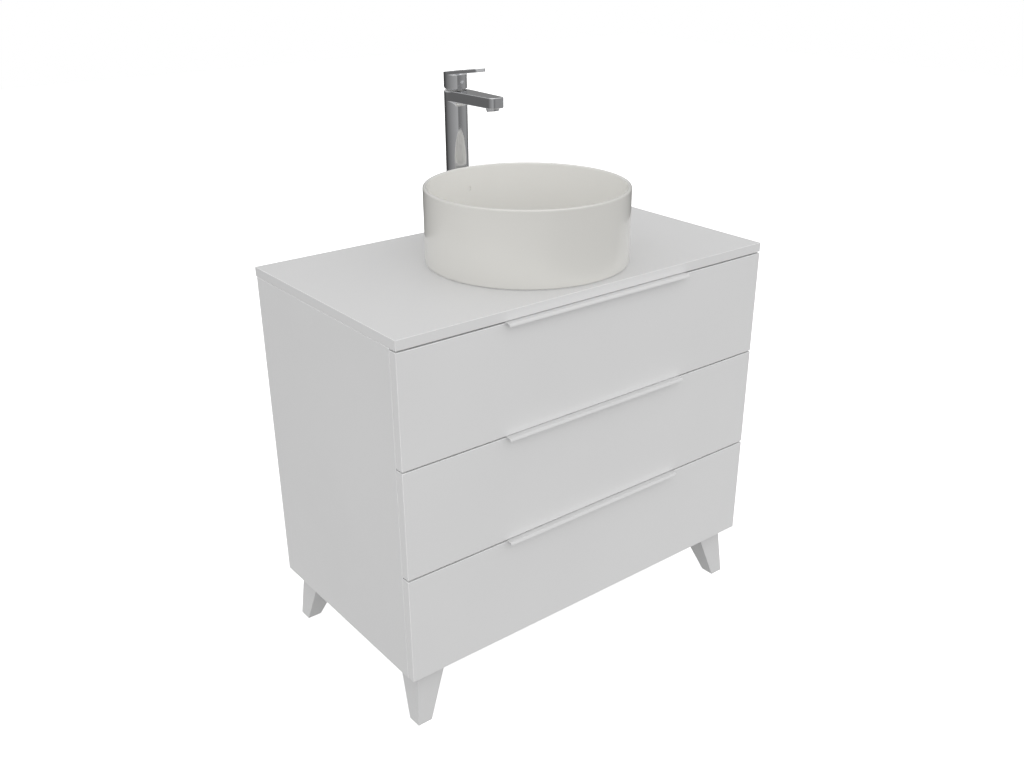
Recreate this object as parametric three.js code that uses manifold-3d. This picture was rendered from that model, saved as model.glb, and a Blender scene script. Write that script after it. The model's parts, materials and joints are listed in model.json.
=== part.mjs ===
// A vessel basin on a three-drawer vanity cabinet with splayed legs and a tall single-lever mixer tap.
// Millimetres, +Z up, front towards -Y. The origin is on the floor, at the centre of the bounding box.
import * as THREE from "three";
import { mergeVertices } from "three/addons/utils/BufferGeometryUtils.js";
import Module from "manifold-3d";

const wasm = await Module();
wasm.setup();

// ---------- driving dimensions ----------
const GAP = 0.3; // left between pieces that touch
const OVERCUT = 5; // a cutting shape reaches this far past what it cuts

const WIDTH = 800;
const DEPTH = 450; // worktop, front to back
const LEG_HEIGHT = 107;
const CARCASS_HEIGHT = 600;
const BOARD = 16;
const RAIL_DEPTH = 80; // boards that tie the side panels together
const FRONT_RAIL_SETBACK = 8;
const LOWER_RAIL_HEIGHT = 100;
const CARCASS_BACK = 222;
const WORKTOP_THICKNESS = 17;
const WORKTOP_UNDERSIDE = LEG_HEIGHT + CARCASS_HEIGHT;
const WORKTOP_TOP = WORKTOP_UNDERSIDE + WORKTOP_THICKNESS;
const INNER_HALF = WIDTH / 2 - BOARD; // centre line to a side panel's inner face

const FRONT_FACE = -DEPTH / 2;
const FRONT_THICKNESS = 17;
const FRONT_REAR = FRONT_FACE + FRONT_THICKNESS;
const CARCASS_FRONT = FRONT_REAR + 0.5; // the carcass starts just behind the drawer fronts
const DRAWERS = [
  { name: "bottom", bottom: 109.5, height: 199.4 },
  { name: "middle", bottom: 312, height: 194.4 },
  { name: "top", bottom: 509, height: 195.2 },
];

const HANDLE_LENGTH = 400;
const HANDLE_PROJECTION = 14;
const HANDLE_SHEET = 1.5;
const HANDLE_NOSE_RADIUS = 5;
const HANDLE_LIP_DROP = 4; // the lip's lower edge, below the front's top edge
const HANDLE_LEG_DROP = 18; // the screwed flange behind the front

const BOX_RISE = 16; // drawer box above the lower edge of its front
const BOX_BACK = 190;
const SIDE_HEIGHT = 118;
const SIDE_SHEET = 2;
const SIDE_FLANGE = 12; // folded in, under the drawer bottom
const SIDE_ROLL = { reach: 3, drop: 6, radius: 2 }; // rolled top edge of a drawer side
const RUNNER_SPACE = 12.5; // side panel to drawer side
const RUNNER_HEIGHT = 34;
const RUNNER_LENGTH = 400;
const RUNNER_SETBACK = 3;
const RUNNER_RISE = 8; // runner above the drawer side's lower edge
const RUNNER_SHEET = 1.5;
const RUNNER_FLANGE = 11;
const RUNNER_RIB = { depth: 9, height: 10 };

const PLUMBING_Y = -30; // basin, waste and trap share this axis
const WASTE_HOLE = 24; // radii of the holes in the worktop
const TAP_HOLE = 17.5;
const CUTOUT_HALF = 80; // recess in the top drawer that clears the trap
const CUTOUT_FRONT = PLUMBING_Y - 63;
const CUTOUT_CORNER = 40;
const LINER = 12;

const LEG_TOP = { inset: 22, width: 59 };
const LEG_FOOT = { inset: 12, width: 28 };

const BASIN_RADIUS = 180;
const BASIN_TOP = WORKTOP_TOP + 132;
const BASIN_RIM = 7;
const BASIN_DRAFT = 2; // the wall is thicker by this at its foot
const BASIN_FLOOR = 16; // inside floor at the waste, above the basin's base
const BASIN_FALL = 4; // floor rises by this to the foot of the wall
const BASIN_CORNER = 28;
const BASIN_HOLE = 23;
const BASIN_FOOT = { recess: 5, inner: 148, outer: 150, corner: 2 }; // the ring that the basin stands on
const OVERFLOW = { radius: 4.5, below: 40, depth: 5 };
const SEAL = { height: 0.7, inner: 156, outer: 177 };
const BASIN_BASE = WORKTOP_TOP + GAP + SEAL.height + GAP;

const WASTE_RADIUS = 20.5;
const WASTE_BORE = 15;
const WASTE_FLANGE = { radius: 31.5, thickness: 3 };
const WASTE_END = 664;
const PLUG = { radius: 30, thickness: 5, rounding: 1.5, rise: 0.5 };
const PLUG_STEM = { spigot: 13, spigotLength: 4, pin: 5, pinLength: 32 };
const WASTE_NUT = { radius: 31, height: 14 };

const TRAP_OUTLET_Z = 608;
const TRAP_CUP = { radius: 29, bottom: 530, top: 590, wall: 4, corner: 8 };
const TRAP_SKIRT = { radius: 25.5, bore: 22, bottom: 572, wall: 4 };
const TRAP_DIP = { radius: 14, bore: 12, bottom: 548 };
const TRAP_SHOULDER = 628;
const TRAP_STUB = 46; // the side outlet reaches this far from the trap's axis
const TRAP_NUT = { wall: 6, inletHeight: 26, inletDrop: 14, outletHeight: 22, outletOverlap: 10 };
const PIPE = { radius: 16, bore: 14 };

const TAP_Y = 177;
const TAP_RADIUS = 21;
const TAP_TOP = 265.8; // heights of the tap are above the worktop
const TAP_SPOUT = { reach: 128, bottom: 247.5, tipHalf: 15.2, corner: 9 };
const TAP_AERATOR = { radius: 12.3, reach: 111, bottom: 241 };
const TAP_AERATOR_LIP = { bore: 8, recess: 2, pocket: 5 };
const TAP_CAVITY = { radius: 17, bottom: 214 };
const TAP_SEAL = 2; // thickness of the seal under the tap's foot
const TAP_PIVOT = 258; // the lever tilts about this height
const TAP_DOME = 16.5;
const HUB = { bottom: 267.9, rise: 4.3, chamfer: 1.6, clearance: 17.5 }; // its underside rises to the back
const LEVER = { back: 295.4, tip: 309.6, reach: 79.5, tipHalf: 11, thickness: 6, corner: 4 };
const SCREW_CAP = { radius: 3.4, height: 281 };
const TAP_SHANK = { radius: 16, bore: 12, length: 55 };
const CLAMP_WASHER = { radius: 24, thickness: 3 };
const CLAMP_NUT = { radius: 23, height: 12 };
const DRIVER = { radius: 11, bottom: -7.5, top: 1.5, slot: 9.4 }; // heights from the pivot
const STEM = { ball: 4.3, rod: 3.8, top: 24 };
const SOCKET = 4.2; // the handle's hole for the stem
const SCREW_HOLE_DEPTH = 6;

const ROUND = 32; // sides of a turned piece
const ROUND_TAP = 48;
const ROUND_BASIN = 64;

// ---------- finishes ----------
const LACQUER = { color: 0xd6d6d8, roughness: 0.55, metalness: 0 };
const LAMINATE = { color: 0xdadadc, roughness: 0.5, metalness: 0 };
const CERAMIC = { color: 0xdbd9d3, roughness: 0.1, metalness: 0 };
const CHROME = { color: 0xc8c9cc, roughness: 0.08, metalness: 1 };
const STEEL = { color: 0xa9abad, roughness: 0.35, metalness: 1 };
const PAINTED_STEEL = { color: 0xd0d0d2, roughness: 0.45, metalness: 0.2 };
const BRASS = { color: 0xb08d4c, roughness: 0.35, metalness: 1 };
const PLASTIC = { color: 0xe6e6e4, roughness: 0.4, metalness: 0 };
const SILICONE = { color: 0xdcdcda, roughness: 0.5, metalness: 0 };
const RUBBER = { color: 0x2c2c2e, roughness: 0.8, metalness: 0 };

// ---------- building blocks ----------
function piece(name, geometry, finish, x = 0, y = 0, z = 0) {
  const mesh = new THREE.Mesh(geometry, new THREE.MeshStandardMaterial(finish));
  mesh.name = name;
  mesh.position.set(x, y, z);
  return mesh;
}

// A board between two values on each axis.
function board(name, finish, [x0, x1], [y0, y1], [z0, z1]) {
  const geometry = new THREE.BoxGeometry(x1 - x0, y1 - y0, z1 - z0);
  return piece(name, geometry, finish, (x0 + x1) / 2, (y0 + y1) / 2, (z0 + z1) / 2);
}

// Points on a circular arc, from angle a to angle b in degrees.
function arc(cx, cy, radius, a, b, steps = 6) {
  const points = [];
  for (let i = 0; i <= steps; i++) {
    const t = THREE.MathUtils.degToRad(a + ((b - a) * i) / steps);
    points.push([cx + radius * Math.cos(t), cy + radius * Math.sin(t)]);
  }
  return points;
}

const vectors = (points) => points.map(([x, y]) => new THREE.Vector2(x, y));

// A body turned about Z from [radius, height] points; a ring's profile is closed by its first point.
function turned(points, { ring = false, sides = ROUND } = {}) {
  const profile = vectors(ring ? [...points, points[0]] : points);
  return new THREE.LatheGeometry(profile, sides).rotateX(Math.PI / 2);
}

function cylinder(radius, z0, z1, sides = ROUND) {
  return turned([[0, z0], [radius, z0], [radius, z1], [0, z1]], { sides });
}

function tube(outer, inner, z0, z1, sides = ROUND) {
  return turned([[inner, z0], [outer, z0], [outer, z1], [inner, z1]], { ring: true, sides });
}

function extruded(shape, depth) {
  return new THREE.ExtrudeGeometry(shape, { depth, bevelEnabled: false, curveSegments: 8 });
}

// A profile drawn in the Y-Z plane, extruded along X about the centre line.
function alongX(shape, length) {
  const toX = new THREE.Matrix4().makeBasis(
    new THREE.Vector3(0, 1, 0),
    new THREE.Vector3(0, 0, 1),
    new THREE.Vector3(1, 0, 0),
  );
  return extruded(shape, length).translate(0, 0, -length / 2).applyMatrix4(toX);
}

// A profile drawn in the X-Z plane, extruded from y = front to y = back.
function alongY(shape, front, back) {
  return extruded(shape, back - front).rotateX(Math.PI / 2).translate(0, back, 0);
}

function solid(geometry) {
  const bare = geometry.clone();
  bare.deleteAttribute("normal");
  bare.deleteAttribute("uv");
  const merged = mergeVertices(bare, 1e-4);
  return new wasm.Manifold(
    new wasm.Mesh({
      numProp: 3,
      vertProperties: merged.attributes.position.array,
      triVerts: new Uint32Array(merged.index.array),
    }),
  );
}

function geometryOf(manifold) {
  const { vertProperties, triVerts } = manifold.getMesh();
  const geometry = new THREE.BufferGeometry();
  geometry.setAttribute("position", new THREE.BufferAttribute(vertProperties, 3));
  geometry.setIndex(new THREE.BufferAttribute(triVerts, 1));
  geometry.computeVertexNormals();
  return geometry;
}

function subtract(geometry, ...tools) {
  return geometryOf(tools.reduce((rest, tool) => rest.subtract(solid(tool)), solid(geometry)));
}

function unite(geometry, ...others) {
  return geometryOf(others.reduce((sum, other) => sum.add(solid(other)), solid(geometry)));
}

// ---------- carcass ----------
function carcass() {
  const inside = [-INNER_HALF + GAP, INNER_HALF - GAP];
  const upright = [CARCASS_BACK - BOARD, CARCASS_BACK];
  const top = WORKTOP_UNDERSIDE - GAP;
  const floorBoard = LEG_HEIGHT + BOARD;
  const sideHeights = [LEG_HEIGHT, top];
  const depths = [CARCASS_FRONT, CARCASS_BACK];
  const railFront = CARCASS_FRONT + FRONT_RAIL_SETBACK;
  return [
    board("side_panel_left", LACQUER, [-WIDTH / 2, -INNER_HALF], depths, sideHeights),
    board("side_panel_right", LACQUER, [INNER_HALF, WIDTH / 2], depths, sideHeights),
    board("base_panel", LACQUER, inside, [CARCASS_FRONT, upright[0] - GAP], [LEG_HEIGHT, floorBoard]),
    board("front_rail", LACQUER, inside, [railFront, railFront + RAIL_DEPTH], [top - BOARD, top]),
    board("rear_rail_upper", LACQUER, inside, upright, [top - RAIL_DEPTH, top]),
    board("rear_rail_lower", LACQUER, inside, upright, [LEG_HEIGHT, LEG_HEIGHT + LOWER_RAIL_HEIGHT]),
  ];
}

function worktop() {
  const slab = new THREE.BoxGeometry(WIDTH, DEPTH, WORKTOP_THICKNESS);
  slab.translate(0, 0, WORKTOP_UNDERSIDE + WORKTOP_THICKNESS / 2);
  const reach = [WORKTOP_UNDERSIDE - OVERCUT, WORKTOP_TOP + OVERCUT];
  const tapHole = cylinder(TAP_HOLE, ...reach).translate(0, TAP_Y, 0);
  const wasteHole = cylinder(WASTE_HOLE, ...reach).translate(0, PLUMBING_Y, 0);
  return piece("worktop", subtract(slab, tapHole, wasteHole), LAMINATE);
}

// Tapers from a wide top to a small foot that stands nearer to the cabinet's corner.
function legGeometry(sideX, sideY) {
  const geometry = new THREE.BoxGeometry(1, 1, LEG_HEIGHT - GAP);
  const position = geometry.attributes.position;
  for (let i = 0; i < position.count; i++) {
    const section = position.getZ(i) > 0 ? LEG_TOP : LEG_FOOT;
    const centre = section.inset + section.width / 2;
    const x = WIDTH / 2 - centre + position.getX(i) * section.width * sideX;
    const y = DEPTH / 2 - centre + position.getY(i) * section.width * sideY;
    position.setXY(i, sideX * x, sideY * y);
  }
  geometry.computeVertexNormals();
  return geometry;
}

function legs() {
  const corners = [
    ["leg_front_left", -1, -1],
    ["leg_front_right", 1, -1],
    ["leg_back_left", -1, 1],
    ["leg_back_right", 1, 1],
  ];
  return corners.map(([name, sideX, sideY]) =>
    piece(name, legGeometry(sideX, sideY), LACQUER, 0, 0, (LEG_HEIGHT - GAP) / 2),
  );
}

// ---------- drawers ----------
// Edge pull: a flange over the front's top edge, a rounded nose with a lip, and a leg screwed behind.
function handleShape() {
  const s = HANDLE_SHEET;
  const nose = -HANDLE_PROJECTION + HANDLE_NOSE_RADIUS;
  const back = FRONT_THICKNESS + GAP;
  const top = GAP + s;
  const centreZ = top - HANDLE_NOSE_RADIUS;
  return new THREE.Shape(
    vectors([
      [back + s, -HANDLE_LEG_DROP],
      [back + s, top],
      ...arc(nose, centreZ, HANDLE_NOSE_RADIUS, 90, 180),
      [-HANDLE_PROJECTION, -HANDLE_LIP_DROP],
      [-HANDLE_PROJECTION + s, -HANDLE_LIP_DROP],
      ...arc(nose, centreZ, HANDLE_NOSE_RADIUS - s, 180, 90),
      [back, GAP],
      [back, -HANDLE_LEG_DROP],
    ]),
  );
}

// The right-hand drawer side: a steel wall with a rolled top, a flange under the drawer bottom
// and a rib that rides in the cabinet's runner. x = 0 is the wall's outer face.
function sideShape() {
  const ribBottom = RUNNER_RISE + (RUNNER_HEIGHT - RUNNER_RIB.height) / 2;
  const ribTop = ribBottom + RUNNER_RIB.height;
  const roll = SIDE_ROLL;
  return new THREE.Shape(
    vectors([
      [0, 0],
      [0, ribBottom],
      [RUNNER_RIB.depth, ribBottom],
      [RUNNER_RIB.depth, ribTop],
      [0, ribTop],
      [0, SIDE_HEIGHT - roll.drop],
      [roll.reach, SIDE_HEIGHT - roll.drop],
      ...arc(roll.reach - roll.radius, SIDE_HEIGHT - roll.radius, roll.radius, 0, 90, 4),
      [-SIDE_SHEET, SIDE_HEIGHT],
      [-SIDE_SHEET, SIDE_SHEET],
      [-SIDE_SHEET - SIDE_FLANGE, SIDE_SHEET],
      [-SIDE_SHEET - SIDE_FLANGE, 0],
    ]),
  );
}

// The cabinet's half of the runner: a channel that opens towards the drawer. x = 0 is the side panel.
function runnerShape() {
  const s = RUNNER_SHEET;
  return new THREE.Shape(
    vectors([
      [0, 0],
      [0, RUNNER_HEIGHT],
      [-RUNNER_FLANGE, RUNNER_HEIGHT],
      [-RUNNER_FLANGE, RUNNER_HEIGHT - s],
      [-s, RUNNER_HEIGHT - s],
      [-s, s],
      [-RUNNER_FLANGE, s],
      [-RUNNER_FLANGE, 0],
    ]),
  );
}

// The same profile turned round for the left-hand side, with its points kept anticlockwise.
function mirrored(shape) {
  return new THREE.Shape(shape.getPoints().map(({ x, y }) => new THREE.Vector2(-x, y)).reverse());
}

// Plan of the recess that clears the trap, grown outwards by a margin: from its left end at the
// drawer's back, round the front, to its right end.
function cutoutPoints(margin) {
  const half = CUTOUT_HALF + margin;
  const front = CUTOUT_FRONT - margin;
  const corner = CUTOUT_CORNER + margin;
  return [
    [-half, BOX_BACK],
    ...arc(-half + corner, front + corner, corner, 180, 270),
    ...arc(half - corner, front + corner, corner, 270, 360),
    [half, BOX_BACK],
  ];
}

function cutoutLiner(bottom) {
  const shape = new THREE.Shape(vectors([...cutoutPoints(LINER), ...cutoutPoints(0).reverse()]));
  const height = SIDE_HEIGHT - SIDE_SHEET - BOARD - 2 * GAP;
  return piece("drawer_top_cutout_liner", extruded(shape, height), LACQUER, 0, 0, bottom);
}

function drawerBottom(name, half, z, isTop) {
  if (!isTop) {
    return board(name, LACQUER, [-half, half], [FRONT_REAR + GAP, BOX_BACK], [z, z + BOARD]);
  }
  const outline = [
    [-half, FRONT_REAR + GAP],
    [half, FRONT_REAR + GAP],
    [half, BOX_BACK],
    ...cutoutPoints(0).reverse(),
    [-half, BOX_BACK],
  ];
  return piece(name, extruded(new THREE.Shape(vectors(outline)), BOARD), LACQUER, 0, 0, z);
}

function drawer({ name, bottom, height }) {
  const label = (part) => `drawer_${name}_${part}`;
  const isTop = name === "top";
  const group = new THREE.Group();
  group.position.z = bottom;
  const half = WIDTH / 2;
  const wall = INNER_HALF - RUNNER_SPACE;
  const inner = wall - SIDE_SHEET - GAP;
  const floorZ = BOX_RISE + SIDE_SHEET + GAP;
  const backZ = floorZ + BOARD + GAP;
  const backHeights = [backZ, BOX_RISE + SIDE_HEIGHT - GAP];
  const backDepths = [BOX_BACK - BOARD, BOX_BACK];
  const sideRight = alongY(sideShape(), FRONT_REAR + GAP, BOX_BACK);
  const sideLeft = alongY(mirrored(sideShape()), FRONT_REAR + GAP, BOX_BACK);
  const handle = alongX(handleShape(), HANDLE_LENGTH);
  group.add(
    board(label("front"), LACQUER, [-half, half], [FRONT_FACE, FRONT_REAR], [0, height]),
    piece(label("handle"), handle, LACQUER, 0, FRONT_FACE, height),
    piece(label("side_left"), sideLeft, PAINTED_STEEL, -wall, 0, BOX_RISE),
    piece(label("side_right"), sideRight, PAINTED_STEEL, wall, 0, BOX_RISE),
    drawerBottom(label("bottom"), inner, floorZ, isTop),
  );
  if (isTop) {
    const edge = CUTOUT_HALF + LINER + GAP;
    group.add(
      board(label("back_left"), LACQUER, [-inner, -edge], backDepths, backHeights),
      board(label("back_right"), LACQUER, [edge, inner], backDepths, backHeights),
      cutoutLiner(backZ),
    );
  } else {
    group.add(board(label("back"), LACQUER, [-inner, inner], backDepths, backHeights));
  }
  return group;
}

function runners({ name, bottom }) {
  const z = bottom + BOX_RISE + RUNNER_RISE;
  const front = CARCASS_FRONT + RUNNER_SETBACK;
  const x = INNER_HALF - GAP;
  const right = alongY(runnerShape(), front, front + RUNNER_LENGTH);
  const left = alongY(mirrored(runnerShape()), front, front + RUNNER_LENGTH);
  return [
    piece(`runner_${name}_left`, left, STEEL, -x, 0, z),
    piece(`runner_${name}_right`, right, STEEL, x, 0, z),
  ];
}

// ---------- basin and drain ----------
function basin() {
  const height = BASIN_TOP - BASIN_BASE;
  const foot = BASIN_FOOT;
  const rim = BASIN_RIM / 2;
  const innerFoot = BASIN_RADIUS - BASIN_RIM - BASIN_DRAFT;
  const wallFoot = BASIN_FLOOR + BASIN_FALL + BASIN_CORNER;
  const seat = BASIN_FLOOR - WASTE_FLANGE.thickness;
  const seatRadius = WASTE_FLANGE.radius + 1;
  const bowl = turned(
    [
      [BASIN_HOLE, foot.recess],
      [foot.inner, foot.recess],
      [foot.outer, 0],
      ...arc(BASIN_RADIUS - foot.corner, foot.corner, foot.corner, 270, 360, 3),
      ...arc(BASIN_RADIUS - rim, height - rim, rim, 0, 180, 6),
      ...arc(innerFoot - BASIN_CORNER, wallFoot, BASIN_CORNER, 360, 270, 6),
      [seatRadius, BASIN_FLOOR],
      [seatRadius, seat],
      [BASIN_HOLE, seat],
    ],
    { ring: true, sides: ROUND_BASIN },
  );
  const wallInside = BASIN_RADIUS - BASIN_RIM - BASIN_DRAFT / 2;
  const overflow = cylinder(OVERFLOW.radius, wallInside / 2, wallInside + OVERFLOW.depth, 16);
  overflow.rotateX(-Math.PI / 2).translate(0, 0, height - OVERFLOW.below);
  return piece("basin", subtract(bowl, overflow), CERAMIC, 0, PLUMBING_Y, BASIN_BASE);
}

function basinSeal() {
  const ring = tube(SEAL.outer, SEAL.inner, 0, SEAL.height);
  return piece("basin_seal", ring, SILICONE, 0, PLUMBING_Y, WORKTOP_TOP + GAP);
}

function nut(radius, bore, height, sides = 6) {
  return subtract(cylinder(radius, 0, height, sides), cylinder(bore, -1, height + 1));
}

function waste() {
  const seat = BASIN_BASE + BASIN_FLOOR - WASTE_FLANGE.thickness + GAP;
  const lip = BASIN_BASE + BASIN_FLOOR;
  const body = turned(
    [
      [WASTE_BORE, WASTE_END],
      [WASTE_RADIUS, WASTE_END],
      [WASTE_RADIUS, seat],
      [WASTE_FLANGE.radius, seat],
      [WASTE_FLANGE.radius, lip],
      [WASTE_BORE, lip],
    ],
    { ring: true },
  );
  const plugBase = lip + PLUG.rise;
  const plug = turned([
    [0, plugBase - PLUG_STEM.pinLength],
    [PLUG_STEM.pin, plugBase - PLUG_STEM.pinLength],
    [PLUG_STEM.pin, plugBase - PLUG_STEM.spigotLength],
    [PLUG_STEM.spigot, plugBase - PLUG_STEM.spigotLength],
    [PLUG_STEM.spigot, plugBase],
    [PLUG.radius, plugBase],
    [PLUG.radius, plugBase + PLUG.thickness / 2],
    [PLUG.radius - PLUG.rounding, plugBase + PLUG.thickness - PLUG.rounding / 2],
    [0, plugBase + PLUG.thickness],
  ]);
  const backnut = nut(WASTE_NUT.radius, WASTE_RADIUS + GAP, WASTE_NUT.height);
  const backnutZ = WORKTOP_UNDERSIDE - GAP - WASTE_NUT.height;
  return [
    piece("waste_body", body, CHROME, 0, PLUMBING_Y, 0),
    piece("waste_plug", plug, CHROME, 0, PLUMBING_Y, 0),
    piece("waste_backnut", backnut, PLASTIC, 0, PLUMBING_Y, backnutZ),
  ];
}

// Bottle trap: an inlet collar and dip tube, a side outlet, a cup screwed on from below.
function trapBody() {
  const skirt = TRAP_SKIRT;
  const dip = TRAP_DIP;
  const collarTop = WASTE_END - GAP;
  const ceiling = TRAP_SHOULDER - skirt.wall;
  const turnedBody = turned(
    [
      [dip.bore, dip.bottom],
      [dip.radius, dip.bottom],
      [dip.radius, ceiling],
      [skirt.bore, ceiling],
      [skirt.bore, skirt.bottom],
      [skirt.radius, skirt.bottom],
      [skirt.radius, TRAP_SHOULDER],
      [WASTE_RADIUS, TRAP_SHOULDER + TRAP_NUT.wall],
      [WASTE_RADIUS, collarTop],
      [dip.bore, collarTop],
    ],
    { ring: true },
  );
  // The side outlet points to the back and starts inside the skirt's wall.
  const towardsBack = (geometry) => geometry.rotateX(-Math.PI / 2).translate(0, 0, TRAP_OUTLET_Z);
  const wallMiddle = (skirt.bore + skirt.radius) / 2;
  const stub = towardsBack(cylinder(PIPE.radius, wallMiddle, TRAP_STUB));
  const stubBore = towardsBack(cylinder(PIPE.bore - 3, dip.radius + 2, TRAP_STUB + OVERCUT));
  return subtract(unite(turnedBody, stub), stubBore);
}

function trapCup() {
  const { radius, bottom, top, wall, corner } = TRAP_CUP;
  const skirt = TRAP_SKIRT;
  return turned([
    [0, bottom],
    ...arc(radius - corner, bottom + corner, corner, 270, 360, 4),
    [radius, top],
    [skirt.radius + GAP, top],
    [skirt.radius + GAP, skirt.bottom - 2],
    [skirt.bore, skirt.bottom - 6],
    [skirt.bore, bottom + corner],
    [skirt.bore - wall, bottom + wall],
    [0, bottom + wall],
  ]);
}

function trap() {
  const pipeFront = TRAP_STUB + GAP;
  const pipeLength = DEPTH / 2 - PLUMBING_Y - pipeFront;
  const pipe = tube(PIPE.radius, PIPE.bore, 0, pipeLength).rotateX(-Math.PI / 2);
  const { wall, inletHeight, inletDrop, outletHeight, outletOverlap } = TRAP_NUT;
  const outletNut = nut(PIPE.radius + wall, PIPE.radius + GAP, outletHeight, 12).rotateX(-Math.PI / 2);
  const inletNut = nut(WASTE_RADIUS + wall, WASTE_RADIUS + GAP, inletHeight, 12);
  const nutY = PLUMBING_Y + TRAP_STUB - outletOverlap;
  return [
    piece("trap_body", trapBody(), PLASTIC, 0, PLUMBING_Y, 0),
    piece("trap_cup", trapCup(), PLASTIC, 0, PLUMBING_Y, 0),
    piece("trap_inlet_nut", inletNut, PLASTIC, 0, PLUMBING_Y, WASTE_END - inletDrop),
    piece("trap_outlet_nut", outletNut, PLASTIC, 0, nutY, TRAP_OUTLET_Z),
    piece("trap_outlet_pipe", pipe, PLASTIC, 0, PLUMBING_Y + pipeFront, TRAP_OUTLET_Z),
  ];
}

// ---------- tap ----------
function spoutShape() {
  const { reach, tipHalf, corner } = TAP_SPOUT;
  return new THREE.Shape(
    vectors([
      [TAP_RADIUS - 1, 0],
      [-TAP_RADIUS + 1, 0],
      ...arc(-tipHalf + corner, -reach + corner, corner, 180, 270, 5),
      ...arc(tipHalf - corner, -reach + corner, corner, 270, 360, 5),
    ]),
  );
}

function tapBody() {
  const { bottom } = TAP_SPOUT;
  const column = cylinder(TAP_RADIUS, TAP_SEAL + GAP, TAP_TOP, ROUND_TAP);
  const spout = extruded(spoutShape(), TAP_TOP - bottom).translate(0, 0, bottom);
  const cavity = cylinder(TAP_CAVITY.radius, TAP_CAVITY.bottom, TAP_TOP + OVERCUT);
  const pocketTop = bottom + TAP_AERATOR_LIP.pocket;
  const pocket = cylinder(TAP_AERATOR.radius + GAP, bottom - OVERCUT, pocketTop);
  pocket.translate(0, -TAP_AERATOR.reach, 0);
  return piece("tap_body", subtract(unite(column, spout), cavity, pocket), CHROME);
}

function tapFixings() {
  const { radius, bore, length } = TAP_SHANK;
  const washerZ = -WORKTOP_THICKNESS - GAP - CLAMP_WASHER.thickness;
  const nutZ = washerZ - GAP - CLAMP_NUT.height;
  const seal = tube(TAP_RADIUS + 0.5, radius + GAP, GAP, TAP_SEAL);
  const washer = tube(CLAMP_WASHER.radius, radius + GAP, 0, CLAMP_WASHER.thickness);
  const clampNut = nut(CLAMP_NUT.radius, radius + GAP, CLAMP_NUT.height);
  return [
    piece("tap_base_seal", seal, RUBBER),
    piece("tap_shank", tube(radius, bore, -length, TAP_SEAL), BRASS),
    piece("tap_clamp_washer", washer, STEEL, 0, 0, washerZ),
    piece("tap_clamp_nut", clampNut, BRASS, 0, 0, nutZ),
  ];
}

function tapAerator() {
  const { radius, bottom, reach } = TAP_AERATOR;
  const { bore, recess, pocket } = TAP_AERATOR_LIP;
  const top = TAP_SPOUT.bottom + pocket - GAP;
  const ring = turned([
    [0, bottom + recess],
    [bore, bottom + recess],
    [bore, bottom],
    [radius, bottom],
    [radius, top],
    [0, top],
  ]);
  return piece("tap_aerator", ring, CHROME, 0, -reach, 0);
}

function tapCartridge() {
  const { radius, bottom } = TAP_CAVITY;
  const top = TAP_PIVOT + DRIVER.bottom - 0.5;
  return piece("tap_cartridge", cylinder(radius - 0.5, bottom + GAP, top), PLASTIC);
}

// The turning driver: a disc with a slot in which the lever's stem tilts.
function tapDriver() {
  const { radius, bottom, top, slot } = DRIVER;
  const disc = cylinder(radius, bottom, top);
  const slotFloor = -STEM.ball - 0.4;
  const height = top - slotFloor + OVERCUT;
  const cut = new THREE.BoxGeometry(slot, 3 * radius, height).translate(0, 0, slotFloor + height / 2);
  return piece("tap_driver", subtract(disc, cut), BRASS, 0, 0, TAP_PIVOT);
}

// The white glide ring under the lever: a spherical cap round the pivot on a threaded skirt.
function tapCoverRing() {
  const inner = TAP_DOME - 1.3;
  const skirt = TAP_CAVITY.radius - GAP;
  const rise = TAP_TOP - TAP_PIVOT;
  const low = THREE.MathUtils.radToDeg(Math.asin((rise + 0.6) / TAP_DOME));
  const lowInner = THREE.MathUtils.radToDeg(Math.asin(rise / inner));
  const cap = turned(
    [
      [inner - 1, -6],
      [skirt, -6],
      [skirt, rise - GAP],
      ...arc(0, 0, TAP_DOME, low, 56, 4),
      ...arc(0, 0, inner, 54, lowInner, 4),
      [inner - 1, rise - 2],
    ],
    { ring: true },
  );
  return piece("tap_cover_ring", cap, PLASTIC, 0, 0, TAP_PIVOT);
}

function tapStem() {
  const { ball, rod, top } = STEM;
  const neck = THREE.MathUtils.radToDeg(Math.acos(rod / ball));
  const profile = [...arc(0, 0, ball, -90, neck, 6), [rod, top], [0, top]];
  return piece("tap_stem", turned(profile, { sides: 16 }), BRASS, 0, 0, TAP_PIVOT);
}

// The lever's plan: round at the back like the hub, tapering to a tip with rounded corners.
function leverShape() {
  const { reach, tipHalf, corner } = LEVER;
  return new THREE.Shape(
    vectors([
      ...arc(0, 0, TAP_RADIUS, 0, 180, 20),
      ...arc(-tipHalf + corner, -reach + corner, corner, 180, 270, 4),
      ...arc(tipHalf - corner, -reach + corner, corner, 270, 360, 4),
    ]),
  );
}

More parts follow.
